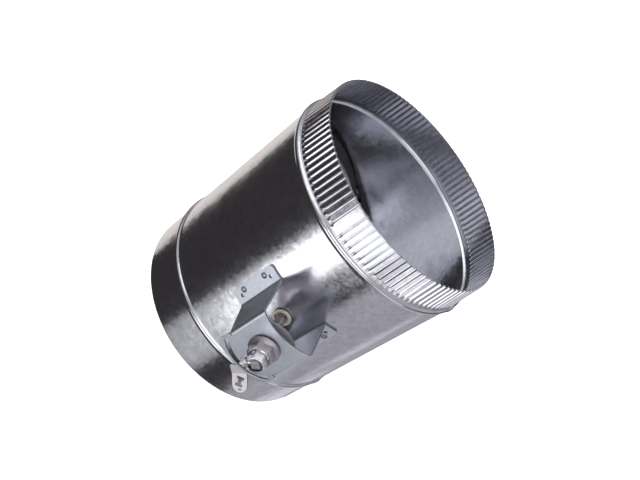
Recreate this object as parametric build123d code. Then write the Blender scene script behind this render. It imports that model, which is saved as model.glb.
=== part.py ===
from build123d import *
from math import asin, cos, degrees, pi, radians, sin, sqrt
import os

# Round volume control damper with a stand-off hand regulator.
#
# A rolled sheet casing, plain at one end and crimped at the other, holds a single rubber-sealed
# blade on a square shaft. The shaft turns in two nylon bearings and carries a hub, a lever and a
# lock nut on a stand-off bracket outside the casing.
#
# Axes: the duct axis is +Z, the plain end is at z = 0, and the regulator points to -Y. Distances
# called "reach" run outwards from the duct axis along -Y. Lengths are millimetres.

# ---------------------------------------------------------------- casing
CASING_RADIUS = 127.0        # outside of the plain tube
CASING_WALL = 0.8
CASING_LENGTH = 295.0
SHAFT_HEIGHT = 148.8         # shaft axis above the plain end
BEAD_RADIUS = 4.5            # outside radius of the rolled bead
BEAD_PROUD = 2.3             # how far a bead stands out from the tube
PLAIN_BEAD_HEIGHT = 52.4     # centre of the bead above the plain end
CRIMP_BEAD_HEIGHT = 253.6
FLUTES = 117                 # crimps round the male end
CRIMP_FROM_BEAD = 4.9        # middle of the bead to the start of the crimps
CRIMP_LAP = 0.5              # tube and crimped wall share this much height
CRIMP_BASE_DROP = 0.4        # the crimped wall starts this far inside the tube
CRIMP_CREST_DROP = 2.8       # and ends this far inside it
CRIMP_DEPTH = 2.6
SEAM_ANGLE = 64.0            # lap seam, degrees round from the regulator towards +X
SEAM_WIDTH = 12.0

# ---------------------------------------------------------------- shaft and bearings
SHAFT_SIDE = 8.0
SHAFT_CORNER = 0.6
SHAFT_PAST_PLATE = 25.3      # outer face of the bracket to the end of the shaft
SHAFT_TAIL = 3.0             # how far the shaft runs past the casing at the closed bearing
BEARING_CLEARANCE = 0.07     # shaft corners to bore
BEARING_WALL = 3.0
BEARING_FLANGE_RADIUS = 10.0
BEARING_FLANGE = 2.0
BEARING_INSIDE = 3.6         # bearing body left inside the casing
BEARING_CAP = 2.0            # closed end of the rear bearing
BEARING_CAP_ROUND = 1.6
SHAFT_END_GAP = 1.0          # end of the shaft to the closed end
HOLE_CLEARANCE = 0.1         # fixed pieces to their holes
SEAL_THICKNESS = 1.2
SEAL_RADIUS = 9.7
CLIP_RADIUS = 11.0
CLIP_THICKNESS = 1.2
CLIP_SPLIT = 1.5
CLIP_GAP = 0.15              # clip to the inside of the casing
CUT_MARGIN = 1.0             # cutting shapes run this far past the faces they cut

# ---------------------------------------------------------------- blade
REST_ANGLE = 55.0            # blade turned from fully open
TRAVEL = 90.0                # open to closed
PLATE_SHEET = 0.9
BLADE_PLATE_INSET = 14.2     # inside of the casing to the edge of the blade plate
CLAMP_PLATE_INSET = 22.2     # and to the edge of the clamp plate
GASKET_THICKNESS = 6.0
GASKET_WALL_GAP = 0.4        # rubber to casing at its closest
NOTCH_HALF_WIDTH = 13.0      # gasket cut back beside each bearing
NOTCH_CLEARANCE = 2.2        # gasket to the bearing, along the shaft
BLADE_RIVETS = 8
BLADE_RIVET_INSET = 12.0     # edge of the clamp plate to its rivets
BLADE_RIVET_RADIUS = 2.0
RIVET_HEAD_RADIUS = 3.3
RIVET_HEAD_HEIGHT = 1.1
RIVET_ROUND = 0.65
STRAP_SPACING = 80.0
STRAP_WIDTH = 22.0
STRAP_SHEET = 1.5
STRAP_FOOT = 12.0
STRAP_GAP = 0.1
STRAP_BOLT = 5.0             # thread diameter
STRAP_HEX = 8.0              # across flats, head and nut
STRAP_HEAD = 3.5
STRAP_NUT = 4.0
BOLT_TAIL = 0.8              # thread showing past the nut

# ---------------------------------------------------------------- stand-off bracket
BRACKET_RISE = 49.0          # casing to the outer face of the plate
BRACKET_SHEET = 2.0
BRACKET_BEND = 3.0           # bend radius at the middle of the sheet
PLATE_HALF_WIDTH = 31.75
NEAR_EDGE_RADIUS = 61.5      # hollow edge towards the crimped end
NEAR_EDGE_OFFSET = 24.9      # shaft to that edge
FAR_EDGE_RADIUS = 63.5       # bowed edge towards the plain end
FAR_EDGE_OFFSET = 42.9
FAR_CORNER_RADIUS = 6.0
PLATE_LAP = 0.5              # flat of the plate and bends share this much width
LEG_NEAR_TOP = 34.6          # leg edges, from the shaft towards the crimped end
LEG_NEAR_FOOT = 30.3
LEG_FAR_TOP = 18.0           # and towards the plain end
LEG_FAR_FOOT = 30.5
FOOT_WIDTH = 16.5            # foot flange, across the duct
FOOT_CORNER_RADIUS = 4.5
FOOT_RIVET_SPACING = 31.5
FOOT_RIVET_INSET = 5.6       # rivet line to the outer edge of the foot
FOOT_RIVET_RADIUS = 1.6
FOOT_RIVET_TAIL = 0.6
FOOT_RIVET_TAIL_RADIUS = 2.4
RIVET_EYE_RADIUS = 1.0
PILOT_SPACING = 43.5         # spare pilot holes beside the rivets
PILOT_INSET = 9.5
PILOT_RADIUS = 2.0
SLOT_RADIUS = 38.1
SLOT_WIDTH = 4.2

# ---------------------------------------------------------------- regulator
HUB_RADIUS = 9.6             # threaded barrel
HUB_FLANGE_RADIUS = 15.0
HUB_FLANGE = 3.5
HUB_HEX = 16.5               # small hexagon, across flats
HUB_HEX_HEIGHT = 10.4
HUB_CHAMFER = 1.0
HUB_TO_SHAFT_END = 1.0       # shaft proud of the hub
HUB_HOLE_SLACK = 1.6         # loose side of the square hole
HUB_HOLE_SEAT = 0.1          # tight side
PLATE_HOLE_CLEARANCE = 0.4
NUT_HEX = 24.0
NUT_HEIGHT = 12.0
NUT_FLANGE_RADIUS = 15.9
NUT_FLANGE = 2.0
NUT_CONE = 2.6
NUT_CHAMFER = 1.2
NUT_CLEARANCE = 0.25
NUT_SEAT_GAP = 0.1           # the nut turns just clear of its washer
NUT_WASHER = 1.2
NUT_WASHER_RADIUS = 13.0
LEVER_SHEET = 2.0
LEVER_TO_PLATE = 5.0         # room for the friction washer and the spring
LEVER_DISC_RADIUS = 27.7
LEVER_ARM_WIDTH = 11.6
LEVER_ARM_LENGTH = 52.0
LEVER_ARM_ANGLE = 45.0       # the arm leans back this far from the direction of the tab
TAB_WIDTH = 16.6
TAB_LENGTH = 19.0            # bend to tip
TAB_BEND_ANGLE = 27.0
TAB_BEND_RADIUS = 3.0
TAB_ROOT = 12.0              # flat stretch before the bend
TAB_ROOT_CORNER = 3.0
TAB_SIDE = 39.2              # shaft axis to the tab's centre line
TAB_BEND_AT = 42.7           # shaft axis to the bend, along the tab
GRIP_HEIGHT = 10.2           # double-T opening in the tab
GRIP_WIDTH = 8.0
GRIP_BAR = 2.5
GRIP_STEM = 3.0
GRIP_TILT = 18.0
GRIP_FROM_BEND = 7.8         # bend to the middle of the opening
STOP_PIN_RADIUS = 1.8
STOP_PIN_HEAD_RADIUS = 3.0
STOP_PIN_HEAD = 1.2
STOP_PIN_DROP = 0.6          # pin top below the outer face of the plate
WASHER_THICKNESS = 1.5
WASHER_RADIUS = 16.0
SPRING_SHEET = 1.2
SPRING_RADIUS = 15.0
SET_SCREW_RADIUS = 2.5
SET_SCREW_HEX = 8.0
SET_SCREW_HEAD = 4.0
SET_SCREW_REACH = 11.0       # underside of its head from the shaft axis
SET_SCREW_DROP = 4.9         # its axis below the end of the shaft

# ---------------------------------------------------------------- worked out
BORE_RADIUS = CASING_RADIUS - CASING_WALL
CRIMP_START = CRIMP_BEAD_HEIGHT + CRIMP_FROM_BEAD
HALF_SHAFT = SHAFT_SIDE / 2
SHAFT_CORNER_RADIUS = (HALF_SHAFT - SHAFT_CORNER) * sqrt(2) + SHAFT_CORNER
BEARING_BORE = SHAFT_CORNER_RADIUS + BEARING_CLEARANCE
BEARING_BODY = BEARING_BORE + BEARING_WALL
SEAT_REACH = CASING_RADIUS + SEAL_THICKNESS
BEARING_INNER_REACH = BORE_RADIUS - BEARING_INSIDE
PLATE_REACH = CASING_RADIUS + BRACKET_RISE
PLATE_UNDER = PLATE_REACH - BRACKET_SHEET
SHAFT_END_REACH = PLATE_REACH + SHAFT_PAST_PLATE
BLADE_FACE = HALF_SHAFT
GASKET_FACE = BLADE_FACE + PLATE_SHEET
CLAMP_FACE = GASKET_FACE + GASKET_THICKNESS
STACK_FACE = CLAMP_FACE + PLATE_SHEET
BLADE_PLATE_RADIUS = BORE_RADIUS - BLADE_PLATE_INSET
CLAMP_PLATE_RADIUS = BORE_RADIUS - CLAMP_PLATE_INSET
BLADE_RIVET_CIRCLE = CLAMP_PLATE_RADIUS - BLADE_RIVET_INSET
GASKET_RADIUS = sqrt((BORE_RADIUS - GASKET_WALL_GAP) ** 2 - CLAMP_FACE ** 2)
HUB_TOP = SHAFT_END_REACH - HUB_TO_SHAFT_END
HEX_BASE = HUB_TOP - HUB_HEX_HEIGHT
LEVER_TOP = PLATE_UNDER - LEVER_TO_PLATE
LEVER_UNDER = LEVER_TOP - LEVER_SHEET
NUT_BASE = PLATE_REACH + NUT_WASHER + NUT_SEAT_GAP
NUT_TOP = NUT_BASE + NUT_HEIGHT
FOOT_CUT_REACH = 0.8 * CASING_RADIUS    # nearer the duct axis than any part of a foot


# ---------------------------------------------------------------- helpers
def outward_plane(reach):
    """Plane facing outwards across the shaft, its x along X and its y along Z."""
    return Plane(origin=(0, -reach, SHAFT_HEIGHT), x_dir=(1, 0, 0), z_dir=(0, -1, 0))


def outward(sketch, start, end):
    """Extrude a sketch seen from outside between two reaches."""
    return extrude(outward_plane(start) * sketch, end - start)


def collar(outer, inner, start, end):
    """Ring on the shaft axis between two reaches."""
    return outward(Circle(outer) - Circle(inner), start, end)


def disc(radius, start, end):
    """Round bar on the shaft axis between two reaches."""
    return outward(Circle(radius), start, end)


def turned_profile(points):
    """Solid of revolution about the shaft axis from (radius, reach) corners."""
    plane = Plane(origin=(0, 0, SHAFT_HEIGHT), x_dir=(1, 0, 0), z_dir=(0, 0, 1))
    face = make_face(Polyline([(radius, -reach) for radius, reach in points], close=True))
    return revolve(plane * face, Axis((0, 0, SHAFT_HEIGHT), (0, 1, 0)))


def turned(part):
    """Turn a piece drawn in the open position to where the blade rests."""
    return Pos(0, 0, SHAFT_HEIGHT) * Rot(0, -REST_ANGLE, 0) * Pos(0, 0, -SHAFT_HEIGHT) * part


def hexagon(across_flats):
    """Hexagon with a flat facing its own x axis."""
    return Rot(0, 0, 30) * RegularPolygon(across_flats / 2, 6, major_radius=False)


def group(parts):
    """Several separate solids kept together in one node."""
    return Compound(children=[solid for part in parts for solid in part.solids()])


# ---------------------------------------------------------------- casing
def wall_profile(outer, inner):
    """Half section of a rolled layer with its two beads, between two offsets from the tube."""
    top = CRIMP_START + CRIMP_LAP
    inside = CASING_RADIUS + inner
    profile = Pos(inside + (outer - inner) / 2, top / 2) * Rectangle(outer - inner, top)
    for height in (PLAIN_BEAD_HEIGHT, CRIMP_BEAD_HEIGHT):
        centre = Pos(CASING_RADIUS + BEAD_PROUD - BEAD_RADIUS, height)
        profile += centre * Circle(BEAD_RADIUS + outer)
        profile -= centre * Circle(BEAD_RADIUS + inner)
    return profile - Pos(inside / 2, top / 2) * Rectangle(inside, top)


def flute_outline(radius, depth):
    """Closed outline round the male end, hollowed between the crests except at the seam."""
    points = []
    for step in range(2 * FLUTES):
        angle = step * 180.0 / FLUTES
        from_seam = abs((angle - SEAM_ANGLE + 180) % 360 - 180)
        plain = degrees(SEAM_WIDTH / 2 / radius)
        hollow = depth if step % 2 and from_seam > plain else 0.0
        turn = radians(angle - 90)
        points.append(((radius - hollow) * cos(turn), (radius - hollow) * sin(turn)))
    return make_face(Polyline(points, close=True))


def crimped_end():
    """Male end: the wall runs from round to fluted and draws in towards the rim."""
    shells = []
    for inset in (0.0, CASING_WALL):
        base = CASING_RADIUS - CRIMP_BASE_DROP - inset
        rim = CASING_RADIUS - CRIMP_CREST_DROP - inset
        start = Pos(0, 0, CRIMP_START) * flute_outline(base, 0.0)
        end = Pos(0, 0, CASING_LENGTH) * flute_outline(rim, CRIMP_DEPTH)
        shells.append(loft([start, end], ruled=True))
    return shells[0] - shells[1]


def duct_casing():
    """Rolled tube with beads, crimped end, lap seam and the holes that fixings need."""
    tube = revolve(Plane.XZ * wall_profile(0, -CASING_WALL), Axis.Z)
    lap_arc = degrees(SEAM_WIDTH / CASING_RADIUS)
    lap = revolve(Plane.XZ * wall_profile(CASING_WALL, -CASING_WALL / 2), Axis.Z, lap_arc)
    lap = Rot(0, 0, SEAM_ANGLE - 90 - lap_arc / 2) * lap
    casing = tube + lap + crimped_end()
    through = CASING_RADIUS + CASING_WALL + CUT_MARGIN
    casing -= disc(BEARING_BODY + HOLE_CLEARANCE, -through, through)
    drill = Cylinder(FOOT_RIVET_RADIUS + HOLE_CLEARANCE, 4 * (BRACKET_SHEET + CASING_WALL))
    for plane in foot_rivet_planes():
        casing -= plane * drill
    return casing


# ---------------------------------------------------------------- bearings
def front_bearing():
    """Open nylon bearing that the shaft passes through."""
    flange = collar(BEARING_FLANGE_RADIUS, BEARING_BORE, SEAT_REACH, SEAT_REACH + BEARING_FLANGE)
    body = collar(BEARING_BODY, BEARING_BORE, BEARING_INNER_REACH, SEAT_REACH)
    return flange + body


def rear_bearing():
    """The same bearing closed over the end of the shaft."""
    closed_from = CASING_RADIUS + SHAFT_TAIL + SHAFT_END_GAP
    bush = mirror(front_bearing(), Plane.XZ)
    cup = collar(BEARING_BODY, BEARING_BORE, -closed_from, -SEAT_REACH - BEARING_FLANGE)
    cap = disc(BEARING_BODY, -closed_from - BEARING_CAP, -closed_from)
    cap = fillet(cap.edges().filter_by(GeomType.CIRCLE).sort_by(Axis.Y)[-1], BEARING_CAP_ROUND)
    return bush + cup + cap


def bearing_seal():
    """Rubber washer with one face rolled to the casing."""
    washer = collar(SEAL_RADIUS, BEARING_BODY + HOLE_CLEARANCE, CASING_RADIUS - CUT_MARGIN, SEAT_REACH)
    return washer - Pos(0, 0, SHAFT_HEIGHT) * Cylinder(CASING_RADIUS, 4 * SEAL_RADIUS)


def bearing_clip():
    """Push-on steel ring that holds the bearing from inside, split once."""
    touch = sqrt(BORE_RADIUS ** 2 - CLIP_RADIUS ** 2) - CLIP_GAP
    ring = collar(CLIP_RADIUS, BEARING_BODY + HOLE_CLEARANCE, touch - CLIP_THICKNESS, touch)
    return ring - outward(Pos(0, -CLIP_RADIUS) * Rectangle(CLIP_SPLIT, CLIP_RADIUS), 0, CASING_RADIUS)


# ---------------------------------------------------------------- blade
def blade_plane(offset):
    """Plane of a blade layer when open: its x along Y, its y along Z, facing +X."""
    return Plane(origin=(offset, 0, SHAFT_HEIGHT), x_dir=(0, 1, 0), z_dir=(1, 0, 0))


def blade_layer(sketch, start, end):
    """Extrude a sketch of the blade between two distances from the shaft axis."""
    return extrude(blade_plane(start) * sketch, end - start)


def blade_rivet_spots():
    """Rivet centres round the blade, clear of the shaft line."""
    return PolarLocations(BLADE_RIVET_CIRCLE, BLADE_RIVETS, start_angle=180 / BLADE_RIVETS)


def strap_spots():
    """Centres of the three straps along the shaft."""
    return GridLocations(STRAP_SPACING, 0, 3, 1)


def strap_bolt_spots():
    """Bolt centres, two to a strap."""
    return GridLocations(STRAP_SPACING, 2 * strap_bolt_offset(), 3, 2)


def strap_bolt_offset():
    """Shaft axis to a strap bolt, across the shaft."""
    return HALF_SHAFT + STRAP_GAP + STRAP_SHEET + STRAP_FOOT / 2


def fixing_holes():
    """Holes that the rivets and strap bolts need through the blade."""
    holes = blade_rivet_spots() * Circle(BLADE_RIVET_RADIUS + HOLE_CLEARANCE)
    return Sketch() + holes + strap_bolt_spots() * Circle(STRAP_BOLT / 2 + HOLE_CLEARANCE)


def blade_disc(radius, start, end):
    """Round blade layer with its fixing holes."""
    return blade_layer(Circle(radius) - fixing_holes(), start, end)


def blade_gasket():
    """Rubber disc that reaches the casing, cut back beside the bearings."""
    outline = Circle(GASKET_RADIUS)
    reach = BEARING_INNER_REACH - NOTCH_CLEARANCE
    for side in (-1, 1):
        notch = Rectangle(GASKET_RADIUS, 2 * NOTCH_HALF_WIDTH)
        outline -= Pos(side * (reach + GASKET_RADIUS / 2), 0) * notch
    return blade_layer(outline - fixing_holes(), GASKET_FACE, CLAMP_FACE)


def blade_rivets():
    """Rivets that clamp the rubber between the two plates, a head on each side."""
    shank = Circle(BLADE_RIVET_RADIUS)
    rivet = blade_layer(shank, BLADE_FACE, STACK_FACE)
    near = blade_layer(Circle(RIVET_HEAD_RADIUS), BLADE_FACE - RIVET_HEAD_HEIGHT, BLADE_FACE)
    far = blade_layer(Circle(RIVET_HEAD_RADIUS), STACK_FACE, STACK_FACE + RIVET_HEAD_HEIGHT)
    near = fillet(near.edges().filter_by(GeomType.CIRCLE).sort_by(Axis.X)[0], RIVET_ROUND)
    far = fillet(far.edges().filter_by(GeomType.CIRCLE).sort_by(Axis.X)[-1], RIVET_ROUND)
    rivet = rivet + near + far
    return group([Pos(0, spot.position.X, spot.position.Y) * rivet for spot in blade_rivet_spots()])


def blade_shaft():
    """Square bar from the regulator to the closed bearing."""
    section = RectangleRounded(SHAFT_SIDE, SHAFT_SIDE, SHAFT_CORNER)
    return outward(section, -CASING_RADIUS - SHAFT_TAIL, SHAFT_END_REACH)


def shaft_strap():
    """Pressed strap over the shaft with a foot on each side."""
    inner = HALF_SHAFT + STRAP_GAP
    outer = inner + STRAP_SHEET
    feet = outer + STRAP_FOOT
    foot = Pos(BLADE_FACE - STRAP_SHEET / 2, 0) * Rectangle(STRAP_SHEET, 2 * feet)
    hoop = Pos((BLADE_FACE - outer) / 2, 0) * Rectangle(BLADE_FACE + outer, 2 * outer)
    tunnel = Pos((BLADE_FACE - inner) / 2, 0) * Rectangle(BLADE_FACE + inner, 2 * inner)
    section = foot + fillet(hoop.vertices().group_by(Axis.X)[0], STRAP_SHEET) - tunnel
    across = Plane(origin=(0, 0, SHAFT_HEIGHT), x_dir=(1, 0, 0), z_dir=(0, -1, 0))
    strap = extrude(across * section, STRAP_WIDTH / 2, both=True)
    holes = GridLocations(0, 2 * strap_bolt_offset(), 1, 2) * Circle(STRAP_BOLT / 2 + HOLE_CLEARANCE)
    return strap - blade_layer(Sketch() + holes, -outer, BLADE_FACE)


def shaft_straps():
    """Three straps that hold the blade on the shaft."""
    return group([Pos(0, spot.position.X, 0) * shaft_strap() for spot in strap_spots()])


def strap_bolt():
    """Hexagon bolt with its head on the strap."""
    seat = BLADE_FACE - STRAP_SHEET
    head = blade_layer(hexagon(STRAP_HEX), seat - STRAP_HEAD, seat)
    return head + blade_layer(Circle(STRAP_BOLT / 2), seat, STACK_FACE + STRAP_NUT + BOLT_TAIL)


def strap_nut():
    """Hexagon nut on the far side of the blade."""
    ring = hexagon(STRAP_HEX) - Circle(STRAP_BOLT / 2 + HOLE_CLEARANCE)
    return blade_layer(ring, STACK_FACE, STACK_FACE + STRAP_NUT)


def at_strap_bolts(fixing):
    """One copy of a fixing at each strap bolt."""
    return group([Pos(0, spot.position.X, spot.position.Y) * fixing for spot in strap_bolt_spots()])


# ---------------------------------------------------------------- stand-off bracket
def foot_slope():
    """Slope of a foot flange, which lies along the casing beside its leg."""
    return asin((PLATE_HALF_WIDTH + FOOT_WIDTH / 2) / CASING_RADIUS)


def foot_plane(inset, along):
    """Plane on the outer face of the +X foot, inset from its outer edge."""
    slope = foot_slope()
    run = FOOT_WIDTH / 2 / cos(slope) - inset
    rise = CASING_RADIUS + BRACKET_SHEET
    x = rise * sin(slope) + run * cos(slope)
    reach = rise * cos(slope) - run * sin(slope)
    normal = (sin(slope), -cos(slope), 0)
    return Plane(origin=(x, -reach, SHAFT_HEIGHT + along), x_dir=(0, 0, 1), z_dir=normal)


def foot_planes(inset, spacing):
    """The four matching places on the two feet."""
    planes = [foot_plane(inset, along) for along in (-spacing / 2, spacing / 2)]
    mirrored = []
    for plane in planes:
        origin = Vector(-plane.origin.X, plane.origin.Y, plane.origin.Z)
        normal = Vector(-plane.z_dir.X, plane.z_dir.Y, plane.z_dir.Z)
        mirrored.append(Plane(origin=origin, x_dir=(0, 0, 1), z_dir=normal))
    return planes + mirrored


def foot_rivet_planes():
    """Where the bracket is riveted to the casing."""
    return foot_planes(FOOT_RIVET_INSET, FOOT_RIVET_SPACING)


def bracket_section():
    """Bent sheet seen along the duct: plate, two legs and two feet."""
    half = BRACKET_SHEET / 2
    slope = foot_slope()
    rise = CASING_RADIUS + half
    run = FOOT_WIDTH / 2 / cos(slope)
    leg = PLATE_HALF_WIDTH - half
    knee = (rise - leg * sin(slope)) / cos(slope)
    end = (rise * sin(slope) + run * cos(slope), rise * cos(slope) - run * sin(slope))
    right = [(leg, PLATE_REACH - half), (leg, knee), end]
    left = [(-x, y) for x, y in reversed(right)]
    path = FilletPolyline(*left, *right, radius=BRACKET_BEND)
    return trace(path, BRACKET_SHEET)


def bend_start():
    """Shaft axis to where the flat of the plate ends and its bends begin."""
    return PLATE_HALF_WIDTH - BRACKET_SHEET / 2 - BRACKET_BEND


def near_edge_circle():
    """Circle whose arc is the hollow edge of the plate."""
    return Pos(0, NEAR_EDGE_OFFSET + NEAR_EDGE_RADIUS) * Circle(NEAR_EDGE_RADIUS)


def plate_outline():
    """Face of the plate: one hollow edge, one bowed edge and two rounded corners."""
    far = Pos(0, FAR_EDGE_RADIUS - FAR_EDGE_OFFSET) * Circle(FAR_EDGE_RADIUS)
    strip = Rectangle(2 * PLATE_HALF_WIDTH, 4 * PLATE_HALF_WIDTH)
    outline = (strip - near_edge_circle()) & (far + Pos(0, 2 * PLATE_HALF_WIDTH) * strip)
    lowest = outline.vertices().group_by(Axis.Y)[0]
    return fillet(lowest, FAR_CORNER_RADIUS)


def leg_outline():
    """Side view of a leg, which is narrower at the plate, with reach as x."""
    bend_reach = PLATE_UNDER - BRACKET_BEND
    top = PLATE_REACH + CUT_MARGIN
    corners = [
        (FOOT_CUT_REACH, LEG_NEAR_FOOT),
        (bend_reach, LEG_NEAR_TOP),
        (top, LEG_NEAR_TOP),
        (top, -LEG_FAR_TOP),
        (bend_reach, -LEG_FAR_TOP),
        (CASING_RADIUS, -LEG_FAR_FOOT),
        (FOOT_CUT_REACH, -LEG_FAR_FOOT),
    ]
    return make_face(Polyline(corners, close=True))


def foot_zone():
    """Block round both feet, with the rounded corners of the flanges."""
    width = 2 * (PLATE_HALF_WIDTH + FOOT_WIDTH)
    face = RectangleRounded(width, LEG_NEAR_FOOT + LEG_FAR_FOOT, FOOT_CORNER_RADIUS)
    face = Pos(0, (LEG_NEAR_FOOT - LEG_FAR_FOOT) / 2) * face
    return outward(face, FOOT_CUT_REACH, CASING_RADIUS + BRACKET_BEND)


def leg_zone():
    """Block round both legs above the feet, stopping where the flat of the plate begins."""
    length = 2 * (LEG_NEAR_TOP + LEG_FAR_FOOT)
    face = Rectangle(2 * (PLATE_HALF_WIDTH + CUT_MARGIN), length) - near_edge_circle()
    face -= Rectangle(2 * (bend_start() - PLATE_LAP), length)
    return outward(face, CASING_RADIUS + BRACKET_BEND, PLATE_REACH + CUT_MARGIN)


def bracket_legs():
    """Both legs with their bends and feet, as far in as the flat of the plate."""
    along = Plane(origin=(0, 0, SHAFT_HEIGHT), x_dir=(1, 0, 0), z_dir=(0, 0, -1))
    sheet = extrude(along * bracket_section(), LEG_NEAR_TOP + LEG_FAR_FOOT, both=True)
    side = Plane(origin=(0, 0, SHAFT_HEIGHT), x_dir=(0, -1, 0), z_dir=(-1, 0, 0))
    legs = sheet & extrude(side * leg_outline(), PLATE_HALF_WIDTH + 2 * FOOT_WIDTH, both=True)
    return legs & (foot_zone() + leg_zone())


def arc_slot():
    """Slot for the stop pin, centred on the side of the plain end."""
    path = CenterArc((0, 0), SLOT_RADIUS, -90 - TRAVEL / 2, TRAVEL)
    return SlotArc(path, SLOT_WIDTH)


def standoff_bracket():
    """Sheet bracket that carries the regulator clear of duct insulation."""
    face = plate_outline()
    bend_room = Rectangle(PLATE_HALF_WIDTH, 2 * PLATE_HALF_WIDTH)
    for side in (-1, 1):
        middle = bend_start() + PLATE_HALF_WIDTH / 2
        face -= Pos(side * middle, PLATE_HALF_WIDTH - LEG_FAR_TOP) * bend_room
    bracket = outward(face, PLATE_UNDER, PLATE_REACH) + bracket_legs()
    openings = arc_slot() + Circle(HUB_RADIUS + PLATE_HOLE_CLEARANCE)
    bracket -= outward(openings, PLATE_UNDER - CUT_MARGIN, PLATE_REACH + CUT_MARGIN)
    for plane in foot_rivet_planes():
        bracket -= plane * Cylinder(FOOT_RIVET_RADIUS + HOLE_CLEARANCE, 4 * BRACKET_SHEET)
    for plane in foot_planes(PILOT_INSET, PILOT_SPACING):
        bracket -= plane * Cylinder(PILOT_RADIUS, 4 * BRACKET_SHEET)
    return bracket


def bracket_rivets():
    """Hollow-headed rivets, set almost flush inside so that the blade clears them."""
    grip = BRACKET_SHEET + CASING_WALL + 2 * HOLE_CLEARANCE
    head = Pos(0, 0, RIVET_HEAD_HEIGHT / 2) * Cylinder(RIVET_HEAD_RADIUS, RIVET_HEAD_HEIGHT)
    head = fillet(head.edges().filter_by(GeomType.CIRCLE).sort_by(Axis.Z)[-1], RIVET_ROUND)
    shank = Pos(0, 0, -grip / 2) * Cylinder(FOOT_RIVET_RADIUS, grip)
    tail = Pos(0, 0, -grip - FOOT_RIVET_TAIL / 2) * Cylinder(FOOT_RIVET_TAIL_RADIUS, FOOT_RIVET_TAIL)
    eye = Pos(0, 0, RIVET_HEAD_HEIGHT / 2) * Cylinder(RIVET_EYE_RADIUS, RIVET_HEAD_HEIGHT + BRACKET_SHEET)
    rivet = head + shank + tail - eye
    return group([plane * rivet for plane in foot_rivet_planes()])


# ---------------------------------------------------------------- regulator
def square_hole():
    """Square hole of the hub: tight on two sides of the shaft, slack on the other two."""
    side = SHAFT_SIDE + HUB_HOLE_SEAT + HUB_HOLE_SLACK
    shift = (HUB_HOLE_SLACK - HUB_HOLE_SEAT) / 2
    return Pos(-shift, -shift) * Rectangle(side, side)


def hub():
    """Threaded barrel with a flange below the lever and a small hexagon on top."""
    corner = HUB_HEX / 2 / cos(pi / 6)
    crown = turned_profile([
        (0, HEX_BASE),
        (corner, HEX_BASE),
        (corner, HUB_TOP - HUB_CHAMFER),
        (HUB_HEX / 2 - HUB_CHAMFER / 4, HUB_TOP),
        (0, HUB_TOP),
    ])
    barrel = turned_profile([
        (0, LEVER_UNDER - HUB_FLANGE),
        (HUB_FLANGE_RADIUS, LEVER_UNDER - HUB_FLANGE),
        (HUB_FLANGE_RADIUS, LEVER_UNDER),
        (HUB_RADIUS, LEVER_UNDER),
        (HUB_RADIUS, HEX_BASE - HUB_CHAMFER),
        (HUB_RADIUS - HUB_CHAMFER, HEX_BASE),
        (0, HEX_BASE),
    ])
    body = barrel + (outward(hexagon(HUB_HEX), HEX_BASE, HUB_TOP) & crown)
    body -= outward(square_hole(), LEVER_UNDER - HUB_FLANGE, HUB_TOP)
    screw_hole = Circle(SET_SCREW_RADIUS + HOLE_CLEARANCE)
    return body - extrude(set_screw_plane(0) * screw_hole, HUB_HEX)


def set_screw_plane(offset):
    """Plane across the set screw, this far from the shaft axis on the side of its head."""
    height = SHAFT_END_REACH - SET_SCREW_DROP
    return Plane(origin=(-offset, -height, SHAFT_HEIGHT), x_dir=(0, 0, 1), z_dir=(-1, 0, 0))


def set_screw():
    """Hexagon-headed screw that holds the hub on the shaft."""
    shank = extrude(set_screw_plane(HALF_SHAFT) * Circle(SET_SCREW_RADIUS), SET_SCREW_REACH - HALF_SHAFT)
    return shank + extrude(set_screw_plane(SET_SCREW_REACH) * hexagon(SET_SCREW_HEX), SET_SCREW_HEAD)


def tab_plane():
    """Middle plane of the bent tab at its bend, facing outwards; the tab runs along its -y."""
    tilt = radians(TAB_BEND_ANGLE)
    origin = (-TAB_SIDE, -LEVER_TOP + LEVER_SHEET / 2, SHAFT_HEIGHT - TAB_BEND_AT)
    return Plane(origin=origin, x_dir=(1, 0, 0), z_dir=(0, -cos(tilt), sin(tilt)))


def tab_outline():
    """Face of the finger tab: round tip and a tilted double-T opening."""
    radius = TAB_WIDTH / 2
    straight = TAB_ROOT + TAB_LENGTH - radius
    face = Pos(0, TAB_ROOT - straight / 2) * Rectangle(TAB_WIDTH, straight)
    face += Pos(0, radius - TAB_LENGTH) * Circle(radius)
    grip = Rectangle(GRIP_STEM, GRIP_HEIGHT)
    for side in (-1, 1):
        grip += Pos(0, side * (GRIP_HEIGHT - GRIP_BAR) / 2) * Rectangle(GRIP_WIDTH, GRIP_BAR)
    return face - Pos(0, -GRIP_FROM_BEND) * Rot(0, 0, -GRIP_TILT) * grip


def finger_tab():
    """Flat root and bent tab of the lever, cut from one strip."""
    tilt = radians(TAB_BEND_ANGLE)
    middle = LEVER_TOP - LEVER_SHEET / 2
    path = FilletPolyline(
        (middle, -TAB_BEND_AT + TAB_ROOT),
        (middle, -TAB_BEND_AT),
        (middle + 2 * TAB_LENGTH * sin(tilt), -TAB_BEND_AT - 2 * TAB_LENGTH * cos(tilt)),
        radius=TAB_BEND_RADIUS,
    )
    side = Plane(origin=(-TAB_SIDE, 0, SHAFT_HEIGHT), x_dir=(0, -1, 0), z_dir=(-1, 0, 0))
    strip = extrude(side * trace(path, LEVER_SHEET), TAB_WIDTH, both=True)
    return strip & extrude(tab_plane() * tab_outline(), TAB_LENGTH, both=True)


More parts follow.
